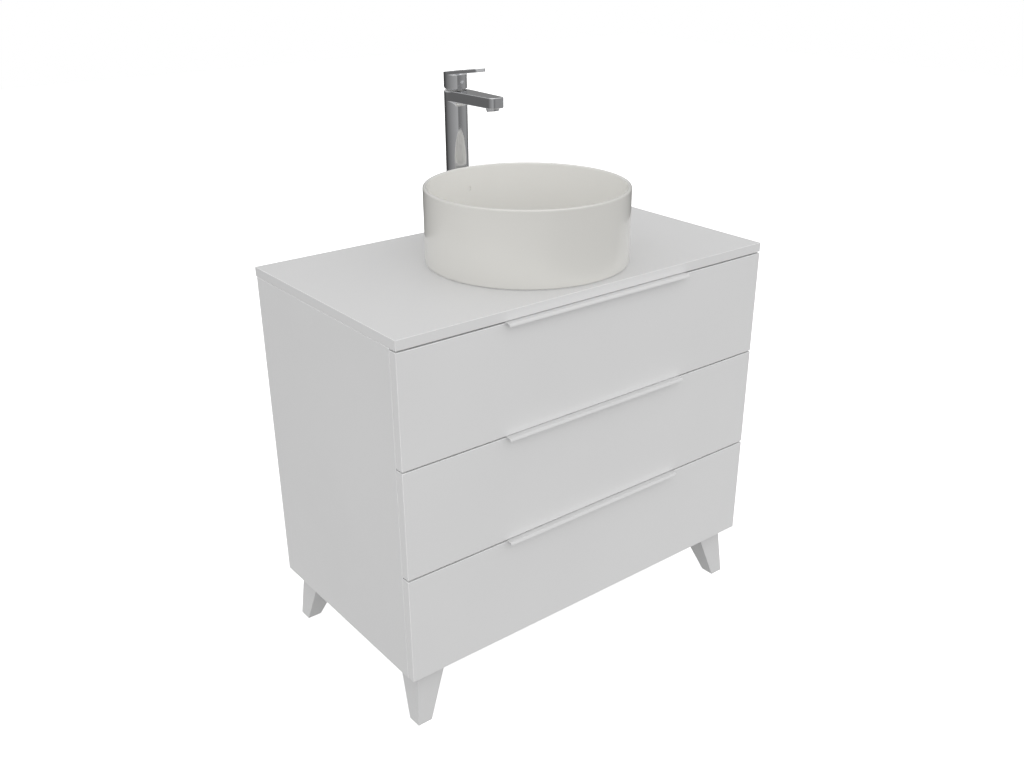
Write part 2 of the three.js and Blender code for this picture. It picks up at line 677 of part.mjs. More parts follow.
// The hub clears the dome with a spherical hollow, and carries a thin blade that rises to its tip.
function tapHandle() {
  const bottom = HUB.bottom - TAP_PIVOT;
  const back = LEVER.back - TAP_PIVOT;
  const tip = LEVER.tip - TAP_PIVOT;
  const rimAngle = THREE.MathUtils.radToDeg(Math.asin(bottom / HUB.clearance));
  const socketAngle = THREE.MathUtils.radToDeg(Math.acos(SOCKET / HUB.clearance));
  const hubTop = back + 4; // trimmed below
  const profile = [
    [0, STEM.top + GAP],
    [SOCKET, STEM.top + GAP],
    ...arc(0, 0, HUB.clearance, socketAngle, rimAngle, 5),
    [TAP_RADIUS - HUB.chamfer, bottom],
    [TAP_RADIUS, bottom + HUB.chamfer],
    [TAP_RADIUS, hubTop],
    [0, hubTop],
  ];
  const hub = turned(profile, { sides: ROUND_TAP });
  const slope = Math.atan2(tip - back, LEVER.reach + TAP_RADIUS);
  const tilted = (shape) => shape.translate(0, -TAP_RADIUS, 0).rotateX(-slope).translate(0, TAP_RADIUS, back);
  const blade = tilted(extruded(leverShape(), LEVER.thickness).translate(0, 0, -LEVER.thickness));
  const slab = () => new THREE.BoxGeometry(3 * TAP_RADIUS, 3 * TAP_RADIUS, 20);
  const above = tilted(slab().translate(0, 0, 9.5));
  const below = slab().translate(0, 0, -10).rotateX(Math.atan2(HUB.rise, 2 * TAP_RADIUS));
  below.translate(0, 0, bottom + HUB.rise / 2);
  const holeEnds = [TAP_RADIUS - SCREW_HOLE_DEPTH, TAP_RADIUS + OVERCUT];
  const screwHole = cylinder(SCREW_CAP.radius + GAP, ...holeEnds, 16).rotateX(Math.PI / 2);
  screwHole.translate(0, 0, SCREW_CAP.height - TAP_PIVOT);
  const lever = unite(subtract(hub, above, below), blade);
  return piece("tap_handle", subtract(lever, screwHole), CHROME, 0, 0, TAP_PIVOT);
}

// Its domed end stands a little proud of the hub.
function tapScrewCap() {
  const { radius, height } = SCREW_CAP;
  const end = TAP_RADIUS + 0.6;
  const profile = [
    [0, TAP_RADIUS - SCREW_HOLE_DEPTH + GAP],
    [radius, TAP_RADIUS - SCREW_HOLE_DEPTH + GAP],
    [radius, end - 0.8],
    [radius - 0.8, end],
    [0, end],
  ];
  const plug = turned(profile, { sides: 16 }).rotateX(Math.PI / 2);
  return piece("tap_screw_cap", plug, PLASTIC, 0, 0, height);
}

function tap() {
  const group = new THREE.Group();
  group.position.set(0, TAP_Y, WORKTOP_TOP);
  group.add(tapBody(), tapAerator(), tapCartridge(), tapCoverRing(), tapDriver(), tapStem());
  group.add(tapHandle(), tapScrewCap(), ...tapFixings());
  return group;
}

// ---------- assembly ----------
const vanity = new THREE.Group();
vanity.position.y = HANDLE_PROJECTION / 2; // centres the bounding box on the origin
vanity.add(...carcass(), worktop(), ...legs());
vanity.add(basin(), basinSeal(), ...waste(), ...trap(), tap());
for (const each of DRAWERS) {
  vanity.add(drawer(each), ...runners(each));
}

export default vanity;
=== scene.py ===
"""Looks of a vessel basin on a three-drawer vanity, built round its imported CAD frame. Metres, +Z up."""
import json
from math import acos, asin, atan2, cos, degrees, hypot, pi, radians, sin, sqrt, tan

import bmesh
import bpy
from mathutils import Matrix, Vector

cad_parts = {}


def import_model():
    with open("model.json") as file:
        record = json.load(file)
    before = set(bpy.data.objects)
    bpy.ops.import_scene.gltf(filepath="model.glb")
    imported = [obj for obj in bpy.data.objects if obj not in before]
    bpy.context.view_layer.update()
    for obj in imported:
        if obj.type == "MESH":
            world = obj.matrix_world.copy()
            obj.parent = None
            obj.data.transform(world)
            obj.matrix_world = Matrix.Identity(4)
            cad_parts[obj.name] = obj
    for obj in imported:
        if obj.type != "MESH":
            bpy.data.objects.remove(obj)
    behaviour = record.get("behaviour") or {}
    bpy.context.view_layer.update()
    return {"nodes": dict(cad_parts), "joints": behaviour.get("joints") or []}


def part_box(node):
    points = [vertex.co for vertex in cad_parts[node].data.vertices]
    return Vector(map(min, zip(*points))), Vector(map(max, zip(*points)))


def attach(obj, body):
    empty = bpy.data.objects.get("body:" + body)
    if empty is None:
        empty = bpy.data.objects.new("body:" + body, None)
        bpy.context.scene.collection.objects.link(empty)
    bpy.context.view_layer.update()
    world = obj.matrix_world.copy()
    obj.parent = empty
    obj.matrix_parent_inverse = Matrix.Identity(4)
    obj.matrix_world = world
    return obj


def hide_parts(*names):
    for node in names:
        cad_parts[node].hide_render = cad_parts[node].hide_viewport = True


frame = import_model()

MM = 0.001

# ---------- camera ----------
CAMERA_PLACE = Vector((-1.1341, -1.4330, 1.2756))
CAMERA_YAW = 0.675  # radians, to the right of +Y
CAMERA_PITCH = -0.442
CAMERA_LENS = 37.083
CAMERA_SHIFT = (-0.01248, 0.02858)

# ---------- light ----------
SKY_LIGHT = 0.88
SKY_LEAN = (-0.09, -0.17, 0.7)  # how much brighter the sky is towards the left, the front and the top
SKY_WAIST = 1.1  # how much darker it is overhead and underfoot than at the horizon
CEILING_LIGHT = 2.0
UPPER_LIGHT = 0.29
WALL_LIGHT = 0.6
LOWER_LIGHT = 0.6
KEY_POWER = 5
KEY_PLACE = Vector((-0.63, -2.73, 3.83))
FLOOR_GLOW = 0.8

# ---------- details that the frame's boxes don't give ----------
BOARD_EDGE = 0.8 * MM
LEG_EDGE = 0.5 * MM
SHEET_EDGE = 0.25 * MM
GAP = 0.3 * MM

HANDLE_SHEET = 1.5 * MM
HANDLE_NOSE = 5 * MM
HANDLE_LIP_DROP = 4 * MM
HANDLE_SETBACK = 1.3 * MM

SIDE_SHEET = 2 * MM
SIDE_RIB_HEIGHT = 10 * MM
SIDE_RIB_DEPTH = 9 * MM
RUNNER_SHEET = 1.5 * MM
WHEEL_WIDTH = 6 * MM

BASIN_RIM = 7 * MM
BASIN_WALL_DRAFT = 2 * MM
BASIN_INNER_CORNER = 30 * MM
BASIN_FLOOR = 16 * MM
BASIN_FLOOR_FALL = 4 * MM
BASIN_OVERFLOW_DROP = 40 * MM
BASIN_OVERFLOW_RADIUS = 4.5 * MM
BASIN_FOOT_CORNER = 1.2 * MM
BEAD_WIDTH = 23 * MM
WASTE_SEAT_RADIUS = 32.5 * MM
WASTE_TAIL = 20.5 * MM
WASTE_BORE = 15 * MM

SPOUT_THICKNESS = 18.3 * MM
SPOUT_TIP_HALF = 15.2 * MM
SPOUT_CORNER = 9 * MM
SPOUT_FILLET = 9 * MM
SHOULDER = 3.0 * MM  # extra rounding of the column's top edge, clear of the spout
SHOULDER_FADE = 5 * MM
LEVER_THICKNESS = 6 * MM
LEVER_TIP_HALF = 11 * MM
LEVER_CORNER = 4 * MM
LEVER_RISE = 14.2 * MM
LEVER_TIP_LEAN = 15  # degrees, backwards
LEVER_TIP_DEPTH = 6 * MM  # of the part of the blade that leans with its tip
HUB_CHAMFER = 0.9 * MM
HUB_RISE = 15  # degrees, of the back of its underside
HUB_FLAT = 1.3 * MM  # how far behind the tap's axis the level part of the underside ends
HUB_DROP = 0.4 * MM  # of the level part, below the frame's hub
DOME_RADIUS = 16.5 * MM
AERATOR_TAPER = 1.6 * MM  # of its ring's radius, towards the lower edge
AERATOR_TILT = -8  # degrees, so that the water leans away from the tap
CAP_BULGE = 2.4 * MM

ROUND = 96
ROUND_BASIN = 256


# ---------- outlines ----------
def arc(x, y, radius, start, end, steps=8):
    """Points on a circle from one angle to another, in degrees."""
    angles = [radians(start + (end - start) * i / steps) for i in range(steps + 1)]
    return [(x + radius * cos(a), y + radius * sin(a)) for a in angles]


def soften(points, radius, closed=True, steps=4):
    """The outline with each corner rounded, as far as the sides beside it allow."""
    corners = [Vector(p) for p in points]
    rounded = []
    for i, corner in enumerate(corners):
        if not closed and i in (0, len(corners) - 1):
            rounded.append(corner)
            continue
        before = corners[i - 1] - corner
        after = corners[(i + 1) % len(corners)] - corner
        half = before.angle(after) / 2
        if half > radians(80):
            rounded.append(corner)
            continue
        reach = min(radius / tan(half), 0.45 * before.length, 0.45 * after.length)
        start = corner + before.normalized() * reach
        end = corner + after.normalized() * reach
        for step in range(steps + 1):
            t = step / steps
            rounded.append(start * (1 - t) ** 2 + corner * 2 * t * (1 - t) + end * t ** 2)
    return [tuple(p) for p in rounded]


def inset(outline, amount):
    """A closed anticlockwise outline moved inwards; amount is one number, or one for each point."""
    amounts = amount if isinstance(amount, list) else [amount] * len(outline)
    moved = []
    for i, (point, by) in enumerate(zip(outline, amounts)):
        before = Vector(point) - Vector(outline[i - 1])
        after = Vector(outline[(i + 1) % len(outline)]) - Vector(point)
        along = before.normalized() + after.normalized()
        inwards = Vector((-along.y, along.x)).normalized()
        moved.append(tuple(Vector(point) + inwards * by))
    return moved


# ---------- meshes ----------
UPRIGHT = Matrix.Identity(4)
TO_BACK = Matrix.Rotation(-pi / 2, 4, "X")  # turns +Z to +Y
TO_FRONT = Matrix.Rotation(pi / 2, 4, "X")


def join_rings(bm, rings, wrap=True):
    """Faces between each ring of vertices and the next; a ring of one vertex is a pole."""
    for low, high in zip(rings, rings[1:]):
        count = max(len(low), len(high))
        for i in range(count if wrap else count - 1):
            j = (i + 1) % count
            if len(low) == 1:
                bm.faces.new((low[0], high[j], high[i]))
            elif len(high) == 1:
                bm.faces.new((low[i], low[j], high[0]))
            else:
                bm.faces.new((low[i], low[j], high[j], high[i]))


def add_lathe(bm, profile, segments=ROUND, place=UPRIGHT, ring=False, shape=None):
    """A body turned about Z from (radius, height) points; shape(radius, angle, height) bends the radius."""
    rings = []
    points = list(profile) + ([profile[0]] if ring else [])
    for radius, height in points:
        if radius < 1e-6:
            rings.append([bm.verts.new(place @ Vector((0, 0, height)))])
            continue
        made = []
        for i in range(segments):
            angle = 2 * pi * i / segments
            r = shape(radius, angle, height) if shape else radius
            made.append(bm.verts.new(place @ Vector((r * cos(angle), r * sin(angle), height))))
        rings.append(made)
    join_rings(bm, rings)
    return bm


def add_loft(bm, rings, cap_start=True, cap_end=True):
    """A closed skin through rings of points that all have the same count."""
    made = [[bm.verts.new(p) for p in ring] for ring in rings]
    join_rings(bm, made)
    if cap_start:
        bm.faces.new(made[0])
    if cap_end:
        bm.faces.new(made[-1])
    return bm


def level_normals(piece):
    """Keeps wide flat faces flat to the eye, so that only their narrow bevels look round."""
    level = piece.modifiers.new("level_faces", "WEIGHTED_NORMAL")
    level.mode = "FACE_AREA"
    level.weight = 100
    level.keep_sharp = True


def finished(name, bm, material, body, stands_for=(), sharp=35, weighted=True, merge=1e-6):
    """The mesh as a smooth-shaded piece that rides on a body."""
    bmesh.ops.remove_doubles(bm, verts=bm.verts, dist=merge)
    bmesh.ops.recalc_face_normals(bm, faces=bm.faces)
    mesh = bpy.data.meshes.new(name)
    bm.to_mesh(mesh)
    bm.free()
    mesh.materials.append(material)
    mesh.polygons.foreach_set("use_smooth", [True] * len(mesh.polygons))
    mesh.set_sharp_from_angle(angle=radians(sharp))
    piece = bpy.data.objects.new(name, mesh)
    bpy.context.scene.collection.objects.link(piece)
    if weighted:
        normals = piece.modifiers.new("weighted_normals", "WEIGHTED_NORMAL")
        normals.keep_sharp = True
    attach(piece, body)
    if stands_for:
        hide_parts(*stands_for)
    return piece


def turned(name, profile, material, body, slot, at=(0, 0, 0), turn=UPRIGHT, stands_for=(), **lathe):
    """A lathe-turned piece on an axis through a point."""
    bm = add_lathe(bmesh.new(), profile, place=Matrix.Translation(at) @ turn, **lathe)
    return finished(name, bm, material, body, stands_for)


def bar(name, profile, start, end, axis, material, body, stands_for=()):
    """A section drawn across an axis (X or Y) and run along it. Section points are (across, height)."""
    def ring(at):
        if axis == "X":
            return [(at, a, z) for a, z in profile]
        return [(a, at, z) for a, z in profile]

    bm = add_loft(bmesh.new(), [ring(start), ring(end)])
    piece = finished(name, bm, material, body, stands_for, weighted=False)
    soft = piece.modifiers.new("soft_ends", "BEVEL")
    soft.width = SHEET_EDGE
    soft.segments = 2
    soft.limit_method = "ANGLE"
    soft.angle_limit = radians(50)
    level_normals(piece)
    return piece


def centre(node):
    low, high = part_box(node)
    return (low + high) / 2


# ---------- materials ----------
class Finish:
    """A Principled material with short ways to add the nodes that every finish here uses."""

    def __init__(self, name, colour, roughness, metallic=0.0):
        self.material = bpy.data.materials.new(name)
        self.material.use_nodes = True
        self.nodes = self.material.node_tree.nodes
        self.links = self.material.node_tree.links
        self.shader = self.nodes["Principled BSDF"]
        self.shader.inputs["Base Color"].default_value = (*colour, 1)
        self.shader.inputs["Roughness"].default_value = roughness
        self.shader.inputs["Metallic"].default_value = metallic
        self.place = self.nodes.new("ShaderNodeTexCoord").outputs["Object"]
        self.bumps = None

    def stretched(self, scale):
        """Object coordinates scaled along each axis."""
        mapping = self.nodes.new("ShaderNodeMapping")
        mapping.inputs["Scale"].default_value = scale
        self.links.new(self.place, mapping.inputs["Vector"])
        return mapping.outputs["Vector"]

    def noise(self, scale, detail=2.0, place=None):
        texture = self.nodes.new("ShaderNodeTexNoise")
        texture.inputs["Scale"].default_value = scale
        texture.inputs["Detail"].default_value = detail
        self.links.new(place or self.place, texture.inputs["Vector"])
        return texture.outputs["Fac"]

    def ramp(self, factor, low, high, start=0.3, end=0.7):
        """A colour that runs from low to high as the factor crosses a range."""
        ramp = self.nodes.new("ShaderNodeValToRGB")
        ramp.color_ramp.elements[0].position = start
        ramp.color_ramp.elements[1].position = end
        ramp.color_ramp.elements[0].color = (*low, 1)
        ramp.color_ramp.elements[1].color = (*high, 1)
        self.links.new(factor, ramp.inputs["Fac"])
        return ramp.outputs["Color"]

    def spread(self, factor, low, high):
        """A number that runs from low to high as the factor crosses its middle range."""
        spread = self.nodes.new("ShaderNodeMapRange")
        spread.inputs["From Min"].default_value = 0.3
        spread.inputs["From Max"].default_value = 0.7
        spread.inputs["To Min"].default_value = low
        spread.inputs["To Max"].default_value = high
        self.links.new(factor, spread.inputs["Value"])
        return spread.outputs["Result"]

    def tinted(self, factor, low, high, start=0.3, end=0.7):
        self.links.new(self.ramp(factor, low, high, start, end), self.shader.inputs["Base Color"])
        return self

    def roughened(self, factor, low, high):
        self.links.new(self.spread(factor, low, high), self.shader.inputs["Roughness"])
        return self

    def bumped(self, height, distance, strength=1.0):
        """Adds a height to the surface; several add up."""
        bump = self.nodes.new("ShaderNodeBump")
        bump.inputs["Distance"].default_value = distance
        bump.inputs["Strength"].default_value = strength
        self.links.new(height, bump.inputs["Height"])
        if self.bumps:
            self.links.new(self.bumps, bump.inputs["Normal"])
        self.bumps = bump.outputs["Normal"]
        self.links.new(self.bumps, self.shader.inputs["Normal"])
        return self

    def coated(self, weight, roughness):
        self.shader.inputs["Coat Weight"].default_value = weight
        self.shader.inputs["Coat Roughness"].default_value = roughness
        return self


def shade(colour, factor):
    return tuple(c * factor for c in colour)


def painted_board(name, colour, roughness, peel=0.00003):
    """Sprayed lacquer: a faint drift in tone, a little unevenness in gloss, and fine orange peel."""
    finish = Finish(name, colour, roughness)
    finish.tinted(finish.noise(2.5, 3), shade(colour, 0.985), shade(colour, 1.015))
    finish.roughened(finish.noise(30, 3), roughness - 0.05, roughness + 0.05)
    finish.bumped(finish.noise(620, 1), peel)
    return finish.material


def laminate(name, colour):
    """Plain satin laminate: its pressed-in grain is too shallow to catch the light."""
    finish = Finish(name, colour, 0.37)
    finish.shader.inputs["Specular IOR Level"].default_value = 0.8
    finish.tinted(finish.noise(1.8, 3), shade(colour, 0.99), shade(colour, 1.01))
    finish.roughened(finish.noise(45, 3), 0.34, 0.4)
    grain = finish.noise(260, 1, finish.stretched((0.12, 1, 1)))
    finish.bumped(grain, 0.000003)
    return finish.material


def glazed(name, colour):
    """Poured glaze: warm white body under a clear coat, with the faintest drift in tone and gloss."""
    finish = Finish(name, colour, 0.3).coated(0.75, 0.04)
    finish.shader.inputs["Coat IOR"].default_value = 1.45
    finish.tinted(finish.noise(4, 2), shade(colour, 0.996), shade(colour, 1.004))
    finish.roughened(finish.noise(20, 1), 0.29, 0.31)
    return finish.material


def polished_chrome(name, colour):
    """Bright chrome plate with the slightest unevenness and a breath of dried water."""
    finish = Finish(name, colour, 0.05, metallic=1.0)
    finish.tinted(finish.noise(20, 2), shade(colour, 0.98), shade(colour, 1.02))
    finish.roughened(finish.noise(55, 4), 0.035, 0.075)
    finish.bumped(finish.noise(35, 1), 0.000012)
    return finish.material


def drawn_metal(name, colour, roughness, scale, ridge=0.00001):
    """Rolled or turned metal: fine lines, stretched along one axis, in tone, gloss and relief."""
    finish = Finish(name, colour, roughness, metallic=1.0)
    lines = finish.noise(500, 3, finish.stretched(scale))
    finish.tinted(lines, shade(colour, 0.88), shade(colour, 1.08))
    finish.roughened(finish.noise(90, 3), roughness - 0.08, roughness + 0.1)
    finish.bumped(lines, ridge)
    return finish.material


def powder_coat(name, colour, metallic=0.0):
    """Baked powder: matt-satin with a fine pebbled skin."""
    finish = Finish(name, colour, 0.42, metallic)
    finish.tinted(finish.noise(5, 3), shade(colour, 0.985), shade(colour, 1.015))
    finish.roughened(finish.noise(80, 2), 0.36, 0.48)
    finish.bumped(finish.noise(1400, 2), 0.00002)
    return finish.material


def moulded(name, colour, roughness, grain=0.00003):
    """Injection-moulded plastic: slightly see-through, with flow marks and a fine spark-eroded grain."""
    finish = Finish(name, colour, roughness)
    finish.shader.inputs["Subsurface Weight"].default_value = 0.1
    finish.shader.inputs["Subsurface Radius"].default_value = (0.003, 0.003, 0.003)
    finish.tinted(finish.noise(12, 3), shade(colour, 0.97), shade(colour, 1.02))
    finish.roughened(finish.noise(50, 3), roughness - 0.06, roughness + 0.08)
    finish.bumped(finish.noise(900, 2), grain)
    return finish.material


WHITE = (0.80, 0.80, 0.80)
# Lighter white for the boards' bevelled edges: a painted highlight along every edge.
EDGE_HIGHLIGHT_WHITE = (0.93, 0.93, 0.93)
LACQUER = painted_board("white_lacquer", WHITE, 0.5)
# A darker copy of the white lacquer for the legs: painted shade, for the shade they stand in under the
# cabinet.
LEG_LACQUER_PAINTED_SHADE = painted_board("leg_lacquer_painted_shade", shade(WHITE, 0.91), 0.5)
LACQUER_EDGE_HIGHLIGHT = painted_board("white_lacquer_edge_highlight", EDGE_HIGHLIGHT_WHITE, 0.4)
LAMINATE = laminate("white_laminate", (0.80, 0.80, 0.80))
LAMINATE_EDGE_HIGHLIGHT = painted_board("white_laminate_edge_highlight", EDGE_HIGHLIGHT_WHITE, 0.4)
HANDLE_PAINT = powder_coat("handle_paint", (0.765, 0.765, 0.765))
CERAMIC = glazed("glazed_ceramic", (0.735, 0.726, 0.692))
# A lighter copy of the glaze for the bowl's inside: painted light that lifts the shade falling inside the
# bowl.
CERAMIC_INSIDE_PAINTED_LIGHT = glazed("glazed_ceramic_inside_painted_light", (0.85, 0.842, 0.812))
CHROME = polished_chrome("chrome", (0.74, 0.745, 0.76))
RUNNER_STEEL = drawn_metal("runner_steel", (0.56, 0.57, 0.58), 0.36, (1, 0.04, 1))
PAINTED_STEEL = powder_coat("painted_steel", (0.76, 0.76, 0.76))
BRASS = drawn_metal("brass", (0.66, 0.49, 0.22), 0.32, (0.2, 0.2, 1))
PLASTIC = moulded("white_plastic", (0.80, 0.80, 0.78), 0.38)
CAP_PLASTIC = moulded("cap_plastic", (0.55, 0.56, 0.58), 0.12, 0.000005)
SILICONE = moulded("white_silicone", (0.80, 0.80, 0.79), 0.45, 0.00001)
RUBBER = moulded("black_rubber", (0.03, 0.03, 0.032), 0.75, 0.00006)


# ---------- boards and legs, kept from the frame ----------
def keep(node, material, edge_highlight_material=None, edge=SHEET_EDGE, segments=3):
    """Gives a CAD node its finish, and rounds its edges with a band of its edge material; on boards that is a
    lighter copy of the finish, a painted highlight along the edges.
    """
    piece = frame["nodes"][node]
    piece.data.materials.clear()
    piece.data.materials.append(material)
    piece.data.materials.append(edge_highlight_material or material)
    piece.data.polygons.foreach_set("material_index", [0] * len(piece.data.polygons))
    piece.data.polygons.foreach_set("use_smooth", [True] * len(piece.data.polygons))
    weld = piece.modifiers.new("weld", "WELD")
    weld.merge_threshold = 0.00001
    flat = piece.modifiers.new("flat_faces", "DECIMATE")
    flat.decimate_type = "DISSOLVE"
    flat.angle_limit = radians(1)
    soft = piece.modifiers.new("soft_edges", "BEVEL")
    soft.width = edge
    soft.segments = segments
    soft.limit_method = "ANGLE"
    soft.angle_limit = radians(40)
    # The bevel faces take the edge material, which on boards is a painted highlight.
    soft.material = 1
    level_normals(piece)


def keep_cabinet():
    boards = ["side_panel_left", "side_panel_right", "base_panel", "front_rail"]
    boards += ["rear_rail_upper", "rear_rail_lower"]
    for name in DRAWER_NAMES:
        boards += [f"drawer_{name}_front", f"drawer_{name}_bottom"]
    boards += ["drawer_bottom_back", "drawer_middle_back", "drawer_top_back_left"]
    boards += ["drawer_top_back_right", "drawer_top_cutout_liner"]
    for board in boards:
        keep(board, LACQUER, LACQUER_EDGE_HIGHLIGHT, BOARD_EDGE)
    keep("worktop", LAMINATE, LAMINATE_EDGE_HIGHLIGHT, BOARD_EDGE)
    # The legs take the darker lacquer, which is painted shade.
    for corner in ("front_left", "front_right", "back_left", "back_right"):
        keep(f"leg_{corner}", LEG_LACQUER_PAINTED_SHADE, LEG_LACQUER_PAINTED_SHADE, LEG_EDGE)


# ---------- screws ----------
def add_screw(bm, at, direction, radius=3.6 * MM, height=1.8 * MM):
    """A pan head with a cross recess, standing on a face whose outward direction is given."""
    place = Matrix.Translation(at) @ Vector(direction).to_track_quat("Z", "Y").to_matrix().to_4x4()
    steps = 7
    rings = [[bm.verts.new(place @ Vector((radius * cos(a), radius * sin(a), 0))) for a in SCREW_ANGLES]]
    for step in range(steps):
        share = cos(pi / 2 * step / steps)
        ring = []
        for a in SCREW_ANGLES:
            arm = abs(sin(2 * a))
            sunk = share < 0.62 and arm < 1.25 - 1.6 * share
            z = height * (0.55 + 0.45 * sqrt(1 - share ** 2)) - (0.9 * MM if sunk else 0)
            ring.append(bm.verts.new(place @ Vector((radius * share * cos(a), radius * share * sin(a), z))))
        rings.append(ring)
    rings.append([bm.verts.new(place @ Vector((0, 0, height - 0.9 * MM)))])
    join_rings(bm, rings)
    bm.faces.new(rings[0])


SCREW_ANGLES = [2 * pi * i / 24 for i in range(24)]


def screws(name, places, direction, body, radius=3.6 * MM):
    bm = bmesh.new()
    for at in places:
        add_screw(bm, at, direction, radius)
    return finished(name, bm, RUNNER_STEEL, body, sharp=40, weighted=False)


# ---------- drawers ----------
DRAWER_NAMES = ("bottom", "middle", "top")
SIDES = (("left", -1), ("right", 1))


def handle(name):
    """An edge pull bent from sheet: leg behind the front, flange over its top edge, rounded nose."""
    node = f"drawer_{name}_handle"
    low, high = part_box(node)
    face = low.y + HANDLE_SETBACK
    s = HANDLE_SHEET
    nose = HANDLE_NOSE
    fold = 1.2 * MM
    lip = high.z - s - GAP - HANDLE_LIP_DROP
    section = [(high.y, low.z), (high.y, high.z - fold)]
    section += arc(high.y - fold, high.z - fold, fold, 0, 90, 5)[1:]
    section += arc(face + nose, high.z - nose, nose, 90, 180, 16)
    section += arc(face + s / 2, lip + s / 2, s / 2, 180, 360, 8)
    section += arc(face + nose, high.z - nose, nose - s, 180, 90, 16)
    section += [(high.y - s, high.z - s), (high.y - s, low.z)]
    bar(f"{node}_pull", section, low.x, high.x, "X", HANDLE_PAINT, f"drawer_{name}", [node])
    middle = (low.z + high.z - 4 * MM) / 2
    spots = [(x, high.y, middle) for x in (low.x + 30 * MM, 0, high.x - 30 * MM)]
    screws(f"{node}_screws", spots, (0, 1, 0), f"drawer_{name}", 2.8 * MM)


def drawer_side(name, side, sign):
    """A rolled steel wall: flange under the bottom board, rib for the runner, rounded top edge."""
    node = f"drawer_{name}_side_{side}"
    low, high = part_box(node)
    body = f"drawer_{name}"
    rib_out = high.x if sign > 0 else low.x
    face = rib_out - sign * SIDE_RIB_DEPTH
    flange = low.x if sign > 0 else high.x
    s = SIDE_SHEET
    roll = 3 * MM
    top = high.z
    section = [
        (flange, low.z), (face, low.z), (face, top - 6 * MM), (face + sign * roll, top - 6 * MM),
        (face + sign * roll, top), (face - sign * s, top), (face - sign * s, low.z + s), (flange, low.z + s),
    ]
    section = soften(section, 1.4 * MM)
    if sign < 0:
        section.reverse()
    bar(f"{node}_wall", section, low.y, high.y, "Y", PAINTED_STEEL, body, [node])

    rib_low, rib_high = rib_heights(name, side)
    reach = face + sign * SIDE_RIB_DEPTH
    rib = soften([(face, rib_low), (reach, rib_low), (reach, rib_high), (face, rib_high)], 1.5 * MM)
    if sign < 0:
        rib.reverse()
    bar(f"{node}_rib", rib, low.y + 4 * MM, wheel_y(name, side) - 17 * MM, "Y", RUNNER_STEEL, body)


def rib_heights(name, side):
    low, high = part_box(f"runner_{name}_{side}")
    middle = (low.z + high.z) / 2
    return middle - SIDE_RIB_HEIGHT / 2, middle + SIDE_RIB_HEIGHT / 2


def wheel_y(name, side):
    """Where the drawer's own wheel turns, at the back of its side."""
    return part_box(f"drawer_{name}_side_{side}")[1].y - 17 * MM


def wheel(name, at, radius, sign, body):
    """A nylon wheel with a shallow tread, on a riveted pin whose head shows."""
    half = WHEEL_WIDTH / 2
    tread = soften([(0.4 * radius, -half), (radius, -half), (radius, half), (0.4 * radius, half)], 0.8 * MM)
    hub = [(0, -half - 0.8 * MM), (0.3 * radius, -half - 0.8 * MM), (0.4 * radius, -half * 0.5)]
    back = [(0.4 * radius, half * 0.5), (0.3 * radius, half + 0.8 * MM), (0, half + 0.8 * MM)]
    turn = Matrix.Rotation(sign * pi / 2, 4, "Y")
    turned(name, hub + tread + back, PLASTIC, body, "white_plastic", at, turn, segments=48)


def runner(name, side, sign):
    """The cabinet's half: a rolled channel screwed to the side panel, with a wheel at its front."""
    node = f"runner_{name}_{side}"
    low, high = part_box(node)
    web = high.x if sign > 0 else low.x
    edge = low.x if sign > 0 else high.x
    s = RUNNER_SHEET
    section = [
        (web, low.z), (web, high.z), (edge, high.z), (edge, high.z - s),
        (web - sign * s, high.z - s), (web - sign * s, low.z + s), (edge, low.z + s), (edge, low.z),
    ]
    section = soften(section, 1.0 * MM)
    if sign > 0:
        section.reverse()
    bar(f"{node}_channel", section, low.y, high.y, "Y", RUNNER_STEEL, "cabinet", [node])
    length = high.y - low.y
    spots = [(web - sign * s, low.y + length * share, (low.z + high.z) / 2) for share in (0.12, 0.5, 0.94)]
    screws(f"{node}_screws", spots, (-sign, 0, 0), "cabinet", 3.2 * MM)

    rib_low, _ = rib_heights(name, side)
    gap = 0.15 * MM
    radius = (rib_low - low.z - s) / 2 - gap
    middle_x = web - sign * (s + GAP + 0.8 * MM + WHEEL_WIDTH / 2)
    front = (middle_x, low.y + 14 * MM, rib_low - radius - gap)
    wheel(f"{node}_front_wheel", front, radius, sign, "cabinet")
    rear_radius = (high.z - low.z) / 2 - s - 0.4 * MM
    rear = (middle_x, wheel_y(name, side), (low.z + high.z) / 2)
    wheel(f"{node}_drawer_wheel", rear, rear_radius, sign, f"drawer_{name}")


def drawers():
    for name in DRAWER_NAMES:
        handle(name)
        for side, sign in SIDES:
            drawer_side(name, side, sign)
            runner(name, side, sign)


